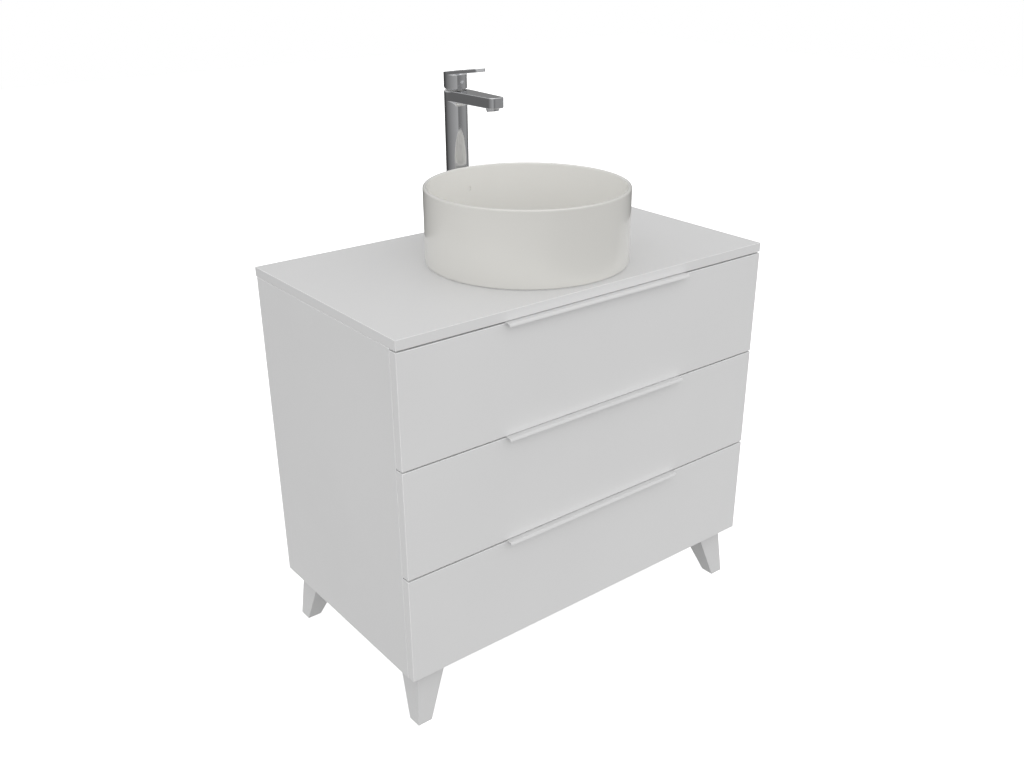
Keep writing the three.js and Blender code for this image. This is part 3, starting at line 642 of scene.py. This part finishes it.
# ---------- basin and drain ----------
def basin():
    """A thin-walled round bowl with a rounded rim, a coved floor and an overflow hole at the back."""
    low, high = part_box("basin")
    middle = centre("basin")
    radius = (high.x - low.x) / 2
    base, top = low.z, high.z
    rim = BASIN_RIM / 2
    foot = radius - BASIN_RIM - BASIN_WALL_DRAFT
    cove = BASIN_INNER_CORNER
    floor = base + BASIN_FLOOR
    seat = WASTE_SEAT_RADIUS
    corner = BASIN_FOOT_CORNER
    profile = [(23 * MM, base + 5 * MM), (146 * MM, base + 5 * MM), (149 * MM, base), (radius - 5 * MM, base)]
    profile = soften(profile, 2 * MM, closed=False)
    profile += arc(radius - corner, base + corner, corner, 270, 360, 8)
    profile += [(radius, base + (top - base) * share) for share in (0.25, 0.5, 0.75)]
    profile += arc(radius - rim, top - rim, rim, 0, 180, 20)
    inner = radius - BASIN_RIM
    wall_foot = floor + BASIN_FLOOR_FALL + cove
    for share in (0.25, 0.5, 0.75):
        profile.append((inner + (foot - inner) * share, top - rim + (wall_foot - top + rim) * share))
    profile += arc(foot - cove, wall_foot, cove, 360, 272, 20)
    dish = foot - cove
    for share in (0.2, 0.4, 0.6, 0.8):
        fall = BASIN_FLOOR_FALL * cos(pi / 2 * share)
        profile.append((dish + (seat - dish) * share, floor + fall))
    profile += arc(seat, floor - 0.8 * MM, 0.8 * MM, 90, 180, 4)
    profile += [(seat - 0.8 * MM, floor - 3 * MM), (23 * MM, floor - 3 * MM)]
    bm = add_lathe(bmesh.new(), profile, ROUND_BASIN, Matrix.Translation((middle.x, middle.y, 0)), ring=True)
    bowl = finished("basin_bowl", bm, CERAMIC, "cabinet", ["basin"])
    punch_overflow(bowl, middle, inner, top - BASIN_OVERFLOW_DROP)
    # Faces inside the rim, down to the floor, take the lighter glaze: painted light in the bowl's shaded
    # inside.
    bowl.data.materials.append(CERAMIC_INSIDE_PAINTED_LIGHT)
    for face in bowl.data.polygons:
        within = (face.center.xy - middle.xy).length < radius - rim
        face.material_index = int(within and face.center.z > floor - 2 * MM)


def silicone_bead():
    """The bead that fills the gap under the basin's foot, smoothed off flush with the glaze."""
    low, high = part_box("basin_seal")
    middle = centre("basin_seal")
    outer = (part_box("basin")[1].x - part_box("basin")[0].x) / 2 - 0.4 * MM
    inner = outer - BEAD_WIDTH
    profile = soften([(inner, high.z), (inner, low.z), (outer, low.z), (outer, high.z)], 0.15 * MM)
    turned("basin_bead", profile, SILICONE, "cabinet", "white_silicone", (middle.x, middle.y, 0),
           stands_for=["basin_seal"], ring=True, segments=ROUND_BASIN)


def punch_overflow(bowl, middle, inner, height):
    """Sinks a shallow round blind hole with a rounded mouth into the back of the bowl's wall."""
    depth = 0.7 * MM  # from just inside the bowl
    mouth = 0.4 * MM
    r = BASIN_OVERFLOW_RADIUS
    tool_bm = bmesh.new()
    face = inner + middle.y - 0.3 * MM
    turn = Matrix.Rotation(-pi / 2, 4, "X")
    profile = [(0, -6 * MM), (r + mouth, -6 * MM), (r + mouth, -0.2 * MM)]
    profile += arc(r + mouth, mouth - 0.2 * MM, mouth, 270, 180, 5) + [(r, depth), (0, depth)]
    add_lathe(tool_bm, profile, 48, Matrix.Translation((middle.x, face, height)) @ turn)
    bmesh.ops.remove_doubles(tool_bm, verts=tool_bm.verts, dist=1e-7)
    bmesh.ops.recalc_face_normals(tool_bm, faces=tool_bm.faces)
    mesh = bpy.data.meshes.new("overflow_tool")
    tool_bm.to_mesh(mesh)
    tool_bm.free()
    mesh.polygons.foreach_set("use_smooth", [True] * len(mesh.polygons))
    tool = bpy.data.objects.new("overflow_tool", mesh)
    bpy.context.scene.collection.objects.link(tool)
    cut = bowl.modifiers.new("overflow", "BOOLEAN")
    cut.operation = "DIFFERENCE"
    cut.solver = "EXACT"
    cut.object = tool
    bpy.context.view_layer.objects.active = bowl
    bowl.modifiers.move(1, 0)
    with bpy.context.temp_override(object=bowl, active_object=bowl, selected_objects=[bowl]):
        bpy.ops.object.modifier_apply(modifier="overflow")
    bpy.data.objects.remove(tool)
    bowl.data.set_sharp_from_angle(angle=radians(35))


def rungs(radius, start, end, step):
    """Profile points up a straight stretch, close enough together to carry a thread."""
    count = max(1, round((end - start) / step))
    return [(radius, start + (end - start) * i / count) for i in range(count + 1)]


def thread(root, pitch):
    """A lathe shape that cuts a screw thread into whatever is wider than its root."""
    def cut(radius, angle, height):
        if radius <= root:
            return radius
        turn = (height / pitch - angle / (2 * pi)) % 1
        return root + (radius - root) * min(1, 1.6 * (1 - abs(2 * turn - 1)))
    return cut


def flats(bore, sides):
    """A lathe shape that gives a nut its flats, with the corners eased."""
    def cut(radius, angle, height):
        if radius < bore * 1.08:
            return radius
        off = angle % (2 * pi / sides) - pi / sides
        return radius * min(cos(pi / sides) / cos(off), 0.985)
    return cut


def ribs(inner, count, depth, low=-1, high=9):
    """A lathe shape with grip ribs on whatever is wider than inner, between two heights."""
    def cut(radius, angle, height):
        if radius < inner or not low <= height <= high:
            return radius
        return radius - depth * (0.5 - 0.5 * cos(count * angle)) ** 2
    return cut


def nut(node, bore, outer, material, slot, shape, turn=UPRIGHT):
    """A nut of a CAD node's place and length, standing up or lying towards the back."""
    low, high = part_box(node)
    middle = centre(node)
    if turn is UPRIGHT:
        at, along = (middle.x, middle.y, low.z), high.z - low.z
    else:
        at, along = (middle.x, low.y, middle.z), high.y - low.y
    profile = soften([(bore, 0), (outer, 0), (outer, along), (bore, along)], 1.6 * MM)
    return turned(f"{node}_turned", profile, material, "cabinet", slot, at, turn, [node], ring=True,
                  shape=shape)


def waste():
    """Flanged waste fitting, its push-down plug, and the nut that holds it under the worktop."""
    low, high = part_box("waste_body")
    at = (*centre("waste_body").xy, 0)
    flange = (high.x - low.x) / 2
    seat = high.z - 3 * MM
    pitch = 2.3 * MM
    thread_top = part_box("worktop")[0].z + 4 * MM
    tail = rungs(WASTE_TAIL, low.z + 1 * MM, thread_top, pitch / 8)
    top = soften([(WASTE_TAIL, thread_top), (WASTE_TAIL, seat), (flange, seat), (flange, high.z),
                  (WASTE_BORE, high.z), (WASTE_BORE, low.z)], 1.2 * MM, closed=False)
    profile = [(WASTE_BORE, low.z), (WASTE_TAIL - 1.2 * MM, low.z)] + tail + top[1:-1]
    root = WASTE_TAIL - 0.9 * MM

    def tail_thread(radius, angle, height):
        return thread(root, pitch)(radius, angle, height) if height < thread_top - 1 * MM else radius

    turned("waste_fitting", profile, CHROME, "cabinet", "chrome", at, stands_for=["waste_body"],
           segments=64, ring=True, shape=tail_thread)

    low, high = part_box("waste_plug")
    radius = (high.x - low.x) / 2
    rim = high.z - 5 * MM
    stem = [(0, low.z), (5 * MM, low.z), (5 * MM, rim - 4 * MM), (13 * MM, rim - 4 * MM), (13 * MM, rim)]
    skirt = soften(stem + [(radius, rim), (radius, rim + 1.6 * MM)], 0.8 * MM, closed=False)
    crown = []
    for degree in range(5, 86, 5):
        bulge = radians(degree)
        crown.append((radius * cos(bulge), rim + 1.6 * MM + 3.4 * MM * sin(bulge)))
    turned("waste_plug_cap", skirt + crown + [(0, high.z)], CHROME, "waste_plug", "chrome", at,
           stands_for=["waste_plug"])
    nut("waste_backnut", WASTE_TAIL + 0.2 * MM, 31 * MM, PLASTIC, "white_plastic", flats(WASTE_TAIL, 6))


# ---------- trap ----------
def trap():
    """A bottle trap: body with its side outlet, a ribbed cup, two ribbed nuts and the pipe to the wall."""
    body_low, body_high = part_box("trap_body")
    cup_low, cup_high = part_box("trap_cup")
    pipe_low, pipe_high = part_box("trap_outlet_pipe")
    axis = centre("trap_cup")
    at = (axis.x, axis.y, 0)
    collar = WASTE_TAIL
    skirt = 25.5 * MM
    shoulder = body_high.z - 36 * MM
    dip = 14 * MM
    outer = [(dip - 2 * MM, body_low.z), (dip, body_low.z), (dip, shoulder - 4 * MM),
             (skirt - 3.5 * MM, shoulder - 4 * MM), (skirt - 3.5 * MM, cup_high.z - 18 * MM),
             (skirt, cup_high.z - 18 * MM), (skirt, shoulder), (collar, shoulder + 7 * MM),
             (collar, body_high.z), (dip - 2 * MM, body_high.z)]
    turned("trap_body_turned", soften(outer, 3 * MM), PLASTIC, "cabinet", "white_plastic", at,
           stands_for=["trap_body"], ring=True)

    outlet = (axis.x, axis.y, centre("trap_outlet_pipe").z)
    stub_end = pipe_low.y - axis.y - GAP
    pipe = (pipe_high.x - pipe_low.x) / 2
    stub = [(pipe - 5 * MM, skirt - 2 * MM), (pipe + 3 * MM, skirt - 2 * MM)]
    stub += [(pipe + 3 * MM * (1 - sin(t)), skirt - 1 * MM + 4 * MM * (1 - cos(t)))
             for t in (0, 0.3, 0.6, 0.9, 1.2, pi / 2)]
    stub += [(pipe, stub_end), (pipe - 5 * MM, stub_end)]
    turned("trap_outlet_stub", stub, PLASTIC, "cabinet", "white_plastic", outlet, TO_BACK, ring=True)
    length = pipe_high.y - pipe_low.y
    wall = 2 * MM
    section = soften([(pipe - wall, 0), (pipe, 0), (pipe, length), (pipe - wall, length)], 0.6 * MM)
    turned("trap_pipe", section, PLASTIC, "cabinet", "white_plastic", (axis.x, pipe_low.y, outlet[2]),
           TO_BACK, ["trap_outlet_pipe"], ring=True)

    cup = (cup_high.x - cup_low.x) / 2
    wall_top = [(cup, cup_high.z - 12 * MM), (cup, cup_high.z), (skirt + GAP, cup_high.z)]
    wall_top = soften(wall_top, 1.5 * MM, False)
    profile = [(0, cup_low.z)] + arc(cup - 9 * MM, cup_low.z + 9 * MM, 9 * MM, 270, 360, 10)
    profile += rungs(cup, cup_low.z + 10 * MM, cup_high.z - 13 * MM, 3 * MM) + wall_top
    profile += [(skirt + GAP, cup_high.z - 20 * MM), (cup - 7 * MM, cup_high.z - 24 * MM)]
    profile += [(cup - 7 * MM, cup_low.z + 9 * MM), (cup - 12 * MM, cup_low.z + 4 * MM)]
    profile += [(0, cup_low.z + 4 * MM)]
    grip = ribs(cup - 0.01 * MM, 18, 1.4 * MM, cup_low.z + 12 * MM, cup_high.z - 15 * MM)
    turned("trap_cup_turned", profile, PLASTIC, "cabinet", "white_plastic", at, stands_for=["trap_cup"],
           segments=144, shape=grip)
    nut("trap_inlet_nut", WASTE_TAIL + 0.2 * MM, 26.5 * MM, PLASTIC, "white_plastic",
        ribs(24 * MM, 12, 1.6 * MM))
    nut("trap_outlet_nut", pipe + 0.2 * MM, 22 * MM, PLASTIC, "white_plastic",
        ribs(19.5 * MM, 12, 1.6 * MM), TO_BACK)


# ---------- tap ----------
def arm_plan(radius, reach, tip_half, corner):
    """Plan of a column with an arm towards -Y: round back, sides that touch the round, rounded tip corners.

    The points run anticlockwise from the middle of the tip, about 3 degrees apart seen from the axis."""
    hub = Vector((tip_half - corner, -reach + corner))
    touch = atan2(hub.y, hub.x) + acos((radius - corner) / hub.length)
    right = [((tip_half - corner) * i / 4, -reach) for i in range(4)]
    right += arc(hub.x, hub.y, corner, 270, 360 + degrees(touch), 10)
    start = Vector(right[-1])
    bearing = atan2(start.y, start.x)
    steps = 28
    for i in range(1, steps):
        ray = bearing + (touch - bearing) * i / steps
        across = Vector((cos(ray), sin(ray)))
        right.append(tuple(across * radius / cos(ray - touch)))
    right += arc(0, 0, radius, degrees(touch), 90, 32)
    return right + [(-x, y) for x, y in reversed(right[1:-1])]


def arm_rings(plan, radius, under, top, fillet, bevel, shoulder=0, steps=5):
    """Rings up the outside of a column whose upper part reaches out into an arm.

    under(x, y) and top(x, y) are the heights of the arm's two faces; the shoulder is added to the
    bevel of the upper edge where there is no arm."""
    rings = []
    outwards = [Vector(p).normalized() for p in plan]
    overhang = [max(Vector(p).length - radius, 0) for p in plan]
    fillets = [min(fillet, 0.7 * e) for e in overhang]
    lows = [min(bevel, 0.3 * e) for e in overhang]
    highs = [bevel + shoulder * max(0, 1 - e / SHOULDER_FADE) for e in overhang]
    for step in range(steps * 2 + 1):
        a = pi / 2 * step / (steps * 2)
        ring = []
        for u, r in zip(outwards, fillets):
            x, y = u * (radius + r * (1 - cos(a)))
            ring.append((x, y, under(x, y) - r * (1 - sin(a))))
        rings.append(ring)
    for step in range(steps + 1):
        a = pi / 2 * step / steps
        edge = inset(plan, [b * (1 - sin(a)) for b in lows])
        rings.append([(x, y, under(x, y) + b * (1 - cos(a))) for (x, y), b in zip(edge, lows)])
    for step in range(steps + 1):
        a = pi / 2 * step / steps
        edge = inset(plan, [b * (1 - cos(a)) for b in highs])
        rings.append([(x, y, top(x, y) - b * (1 - sin(a))) for (x, y), b in zip(edge, highs)])
    return rings


def circle_like(plan, radius, height):
    """A level ring of a radius, with its points on the same bearings as the plan's."""
    return [(*(Vector(p).normalized() * radius), height) for p in plan]


def placed(rings, at):
    return [[Vector(p) + Vector(at) for p in ring] for ring in rings]


def tap_column():
    low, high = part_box("tap_body")
    axis = centre("tap_shank")
    radius = (high.x - low.x) / 2
    reach = axis.y - low.y
    under = high.z - SPOUT_THICKNESS
    plan = arm_plan(radius, reach, SPOUT_TIP_HALF, SPOUT_CORNER)
    edge = 0.5 * MM
    rings = [circle_like(plan, radius - edge, low.z),
             circle_like(plan, radius - edge * 0.3, low.z + edge * 0.3),
             circle_like(plan, radius, low.z + edge)]
    rings += arm_rings(plan, radius, lambda x, y: under, lambda x, y: high.z, SPOUT_FILLET, 1.1 * MM,
                       SHOULDER)
    mouth = 17.4 * MM
    rings += [circle_like(plan, mouth, high.z), circle_like(plan, mouth - 0.3 * MM, high.z - 0.3 * MM)]
    rings += [circle_like(plan, mouth - 0.3 * MM, high.z - 5 * MM)]
    bm = add_loft(bmesh.new(), placed(rings, (axis.x, axis.y, 0)))
    finished("tap_column", bm, CHROME, "cabinet", ["tap_body"])


def tap_lever():
    """Round hub over the dome, with a thin blade that rises towards its tip."""
    low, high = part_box("tap_handle")
    axis = centre("tap_shank")
    pivot = frame_pivot()
    radius = (high.x - low.x) / 2
    reach = axis.y - low.y
    slope = LEVER_RISE / (reach + radius)
    back = high.z - LEVER_RISE

    def top(x, y):
        return back + slope * (radius - y)

    plan = arm_plan(radius, reach, LEVER_TIP_HALF, LEVER_CORNER)
    clear = 17.5 * MM
    socket = 4.2 * MM
    outwards = [Vector(p).normalized() for p in plan]

    def hem(y):
        return low.z - HUB_DROP + max(0, y - HUB_FLAT) * tan(radians(HUB_RISE))

    rims = []
    for out in outwards:
        rim = 1.0
        for _ in range(12):
            rim = acos((hem(clear * sin(rim) * out.y) - pivot) / clear)
        rims.append(rim)
    rings = []
    inner = asin(socket / clear)
    for step in range(13):
        angles = [inner + (rim - inner) * step / 12 for rim in rims]
        rings.append([(*(out * clear * sin(a)), pivot + clear * cos(a)) for out, a in zip(outwards, angles)])
    edge = HUB_CHAMFER
    chamfer = [(radius - edge - 0.3 * MM, 0), (radius - edge, 0.12 * MM)]
    chamfer += [(radius - 0.2 * MM, edge - 0.2 * MM), (radius, edge + 0.2 * MM)]
    for r, h in chamfer:
        rings.append([(out.x * r, out.y * r, hem(out.y * r) + h) for out in outwards])
    rings += arm_rings(plan, radius, lambda x, y: top(x, y) - LEVER_THICKNESS, top, 3 * MM, 0.8 * MM)
    for ring in rings:
        for i, (x, y, z) in enumerate(ring):
            near = max(0, 1 - (y + reach) / LEVER_TIP_DEPTH)
            above = max(0, z - top(x, y) + LEVER_THICKNESS)
            ring[i] = (x, y + near * above * tan(radians(LEVER_TIP_LEAN)), z)
    bm = add_loft(bmesh.new(), placed(rings, (axis.x, axis.y, 0)))
    finished("tap_lever_blade", bm, CHROME, "tap_lever", ["tap_handle"])


def frame_pivot():
    """Height of the lever's tilting axis, from the frame's joint."""
    return next(j["pos_m"][2] for j in frame["joints"] if j["name"] == "tap_lever_tilt")


def tap_dome():
    """The white glide ring between column and lever: a zone of a sphere about the pivot. Its white plastic
    also stands in for a painted highlight, the bright band that shows there between hub and column.
    """
    axis = centre("tap_shank")
    pivot = frame_pivot()
    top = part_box("tap_body")[1].z
    skirt = 16.8 * MM
    low = degrees(acos((skirt - 0.5 * MM) / DOME_RADIUS))
    low = max(low, degrees(asin((top + 0.35 * MM - pivot) / DOME_RADIUS)))
    flange = 17.9 * MM
    profile = [(14 * MM, top - 4 * MM), (skirt, top - 4 * MM), (skirt, top + 0.05 * MM)]
    profile += [(flange, top + 0.05 * MM), (flange, top + 0.25 * MM), (flange - 0.1 * MM, top + 0.35 * MM)]
    profile += [(r, pivot + z) for r, z in arc(0, 0, DOME_RADIUS, low, 56, 20)]
    profile += [(r, pivot + z) for r, z in arc(0, 0, DOME_RADIUS - 1.2 * MM, 54, 20, 12)]
    turned("tap_dome", profile, PLASTIC, "cabinet", "white_plastic", (axis.x, axis.y, 0),
           stands_for=["tap_cover_ring"], ring=True)


def tap_screw_cap():
    """A small round cap over the grub screw, on the hub's front."""
    low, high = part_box("tap_screw_cap")
    middle = centre("tap_screw_cap")
    radius = (high.x - low.x) / 2
    length = high.y - low.y - 0.4 * MM
    profile = [(0, 0), (radius, 0), (radius, length)]
    profile += [(radius * cos(t), length + CAP_BULGE * sin(t)) for t in (0.25, 0.5, 0.75, 1.0, 1.25, 1.45)]
    profile += [(0, length + CAP_BULGE)]
    turned("tap_screw_cover", profile, CAP_PLASTIC, "tap_lever", "cap_plastic",
           (middle.x, high.y, middle.z), TO_FRONT, ["tap_screw_cap"], segments=48)


def tap_aerator():
    """Chrome ring under the spout's tip with a plastic flow straightener recessed in it."""
    low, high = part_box("tap_aerator")
    middle = centre("tap_aerator")
    radius = (high.x - low.x) / 2
    at = (middle.x, middle.y, low.z)
    lean = Matrix.Rotation(radians(AERATOR_TILT), 4, "X")
    height = high.z - low.z
    bore = radius - 3.2 * MM
    outline = [(bore, 2.6 * MM), (bore, 0), (radius - AERATOR_TAPER, 0), (radius, height), (bore, height)]
    outline = soften(outline, 0.9 * MM)
    turned("tap_aerator_ring", outline, CHROME, "cabinet", "chrome", at, lean, ["tap_aerator"], ring=True,
           segments=72)
    bm = bmesh.new()
    plate = Matrix.Translation((middle.x, middle.y, low.z + 1.2 * MM)) @ lean
    add_lathe(bm, [(0, 2 * MM), (bore, 2 * MM), (bore, 5 * MM), (0, 5 * MM)], 48, plate)
    for r in (2.2 * MM, 4.4 * MM, 6.6 * MM):
        ring = [(r, 0), (r + 0.6 * MM, 0), (r + 0.6 * MM, 2.2 * MM), (r, 2.2 * MM)]
        add_lathe(bm, ring, 48, plate, ring=True)
    for i in range(12):
        turn = plate @ Matrix.Rotation(2 * pi * i / 12, 4, "Z")
        half = 0.3 * MM
        ends = []
        for x in (2.3 * MM, bore):
            corners = ((x, -half, 0), (x, half, 0), (x, half, 2.2 * MM), (x, -half, 2.2 * MM))
            ends.append([turn @ Vector(p) for p in corners])
        add_loft(bm, ends)
    finished("tap_aerator_insert", bm, PLASTIC, "cabinet")


def tap_shank():
    """Hollow threaded shank under the worktop, with its clamp nut."""
    low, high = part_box("tap_shank")
    axis = centre("tap_shank")
    radius = (high.x - low.x) / 2
    bore = 12 * MM
    pitch = 2 * MM
    root = radius - 0.9 * MM
    outside = rungs(radius, low.z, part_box("worktop")[0].z, pitch / 6)
    profile = [(bore, low.z)] + outside + [(radius, high.z), (bore, high.z)]
    turned("tap_shank_threaded", profile, BRASS, "cabinet", "brass", (axis.x, axis.y, 0),
           stands_for=["tap_shank"], segments=48, ring=True, shape=thread(root, pitch))
    nut("tap_clamp_nut", radius + 0.2 * MM, 23 * MM, BRASS, "brass", flats(radius, 6))
    keep("tap_clamp_washer", RUNNER_STEEL)


def tap():
    tap_column()
    tap_lever()
    tap_dome()
    tap_screw_cap()
    tap_aerator()
    tap_shank()
    keep("tap_driver", BRASS)
    keep("tap_stem", BRASS)
    keep("tap_cartridge", PLASTIC)
    keep("tap_base_seal", RUBBER)


# ---------- stage ----------
def floor():
    """A wide pale floor that glows a little, so that it reads as the white of the background."""
    bm = bmesh.new()
    bmesh.ops.create_grid(bm, x_segments=8, y_segments=8, size=8)
    mesh = bpy.data.meshes.new("floor")
    bm.to_mesh(mesh)
    bm.free()
    finish = Finish("floor", (0.93, 0.93, 0.93), 0.9)
    finish.shader.inputs["Specular IOR Level"].default_value = 0.0
    finish.shader.inputs["Emission Color"].default_value = (1, 1, 1, 1)
    finish.shader.inputs["Emission Strength"].default_value = FLOOR_GLOW
    mesh.materials.append(finish.material)
    plane = bpy.data.objects.new("floor", mesh)
    bpy.context.scene.collection.objects.link(plane)
    plane.visible_glossy = False
    plane.visible_diffuse = False


def camera():
    data = bpy.data.cameras.new("camera")
    data.lens = CAMERA_LENS
    data.sensor_width = 36
    data.shift_x, data.shift_y = CAMERA_SHIFT
    made = bpy.data.objects.new("camera", data)
    bpy.context.scene.collection.objects.link(made)
    made.location = CAMERA_PLACE
    level = cos(CAMERA_PITCH)
    forward = Vector((sin(CAMERA_YAW) * level, cos(CAMERA_YAW) * level, sin(CAMERA_PITCH)))
    made.rotation_mode = "QUATERNION"
    made.rotation_quaternion = forward.to_track_quat("-Z", "Y")
    bpy.context.scene.camera = made


# Grey panels round the studio, as the polished parts see them: (bearing in degrees from the
# direction of the camera's side of the room, brightness).
PANELS = [
    (-180, 0.02), (-116, 0.06), (-104, 0.12), (-84, 0.2), (-40, 0.33), (20, 0.47),
    (27, 0.2), (47, 0.23), (74, 0.32), (106, 0.37), (128, 0.27), (160, 0.08), (180, 0.02),
]


def world():
    """White to the eye, even soft light for matt surfaces, and a room of grey panels for glossy ones."""
    made = bpy.data.worlds.new("studio")
    bpy.context.scene.world = made
    made.use_nodes = True
    tree = made.node_tree
    nodes, links = tree.nodes, tree.links
    nodes.clear()

    def math(operation, a, b=None):
        node = nodes.new("ShaderNodeMath")
        node.operation = operation
        for socket, value in zip(node.inputs, (a, b)):
            if isinstance(value, (int, float)):
                socket.default_value = value
            elif value is not None:
                links.new(value, socket)
        return node.outputs[0]

    def blend(factor, a, b):
        node = nodes.new("ShaderNodeMix")
        node.data_type = "FLOAT"
        for socket, value in zip((node.inputs[0], node.inputs[2], node.inputs[3]), (factor, a, b)):
            if isinstance(value, (int, float)):
                socket.default_value = value
            else:
                links.new(value, socket)
        return node.outputs[0]

    def step(value, start, end):
        node = nodes.new("ShaderNodeMapRange")
        node.interpolation_type = "SMOOTHSTEP"
        links.new(value, node.inputs["Value"])
        node.inputs["From Min"].default_value = start
        node.inputs["From Max"].default_value = end
        return node.outputs["Result"]

    split = nodes.new("ShaderNodeSeparateXYZ")
    direction = nodes.new("ShaderNodeTexCoord").outputs["Generated"]
    links.new(direction, split.inputs[0])
    x, y, z = split.outputs
    bearing = math("ARCTAN2", x, math("MULTIPLY", y, -1))
    turn = math("FRACT", math("ADD", math("DIVIDE", bearing, 2 * pi), 0.5 + CAMERA_YAW / (2 * pi)))
    ramp = nodes.new("ShaderNodeValToRGB")
    stops = ramp.color_ramp.elements
    while len(stops) < len(PANELS):
        stops.new(0.5)
    for stop, (angle, value) in zip(stops, PANELS):
        stop.position = (angle + 180) / 360
        stop.color = (value, value, value, 1)
    links.new(turn, ramp.inputs["Fac"])
    room = blend(step(z, -0.45, -0.2), LOWER_LIGHT, ramp.outputs["Color"])
    room = blend(step(z, -0.25, 0.25), room, UPPER_LIGHT)
    room = blend(step(z, 0.17, 0.3), room, WALL_LIGHT)
    room = blend(step(z, 0.66, 0.92), room, CEILING_LIGHT)
    lean = nodes.new("ShaderNodeVectorMath")
    lean.operation = "DOT_PRODUCT"
    links.new(direction, lean.inputs[0])
    lean.inputs[1].default_value = SKY_LEAN
    waist = math("MULTIPLY", math("MULTIPLY", z, z), SKY_WAIST)
    shape = math("SUBTRACT", math("ADD", lean.outputs["Value"], 1), waist)
    sky = math("MULTIPLY", math("MAXIMUM", shape, 0), SKY_LIGHT)
    path = nodes.new("ShaderNodeLightPath").outputs
    seen = blend(path["Is Glossy Ray"], sky, room)
    strength = blend(path["Is Camera Ray"], seen, 1.0)
    background = nodes.new("ShaderNodeBackground")
    background.inputs["Color"].default_value = (1, 1, 1, 1)
    links.new(strength, background.inputs["Strength"])
    output = nodes.new("ShaderNodeOutputWorld")
    links.new(background.outputs[0], output.inputs["Surface"])


def key_light():
    data = bpy.data.lights.new("key", "AREA")
    data.energy = KEY_POWER
    data.shape = "DISK"
    data.size = 2.2
    made = bpy.data.objects.new("key", data)
    bpy.context.scene.collection.objects.link(made)
    made.location = KEY_PLACE
    made.rotation_mode = "QUATERNION"
    target = Vector((0, 0, 0.7))
    made.rotation_quaternion = (target - made.location).to_track_quat("-Z", "Y")
    made.visible_glossy = False


camera()
world()
key_light()
floor()
keep_cabinet()
drawers()
basin()
silicone_bead()
waste()
trap()
tap()
bpy.context.scene.view_settings.view_transform = "Standard"
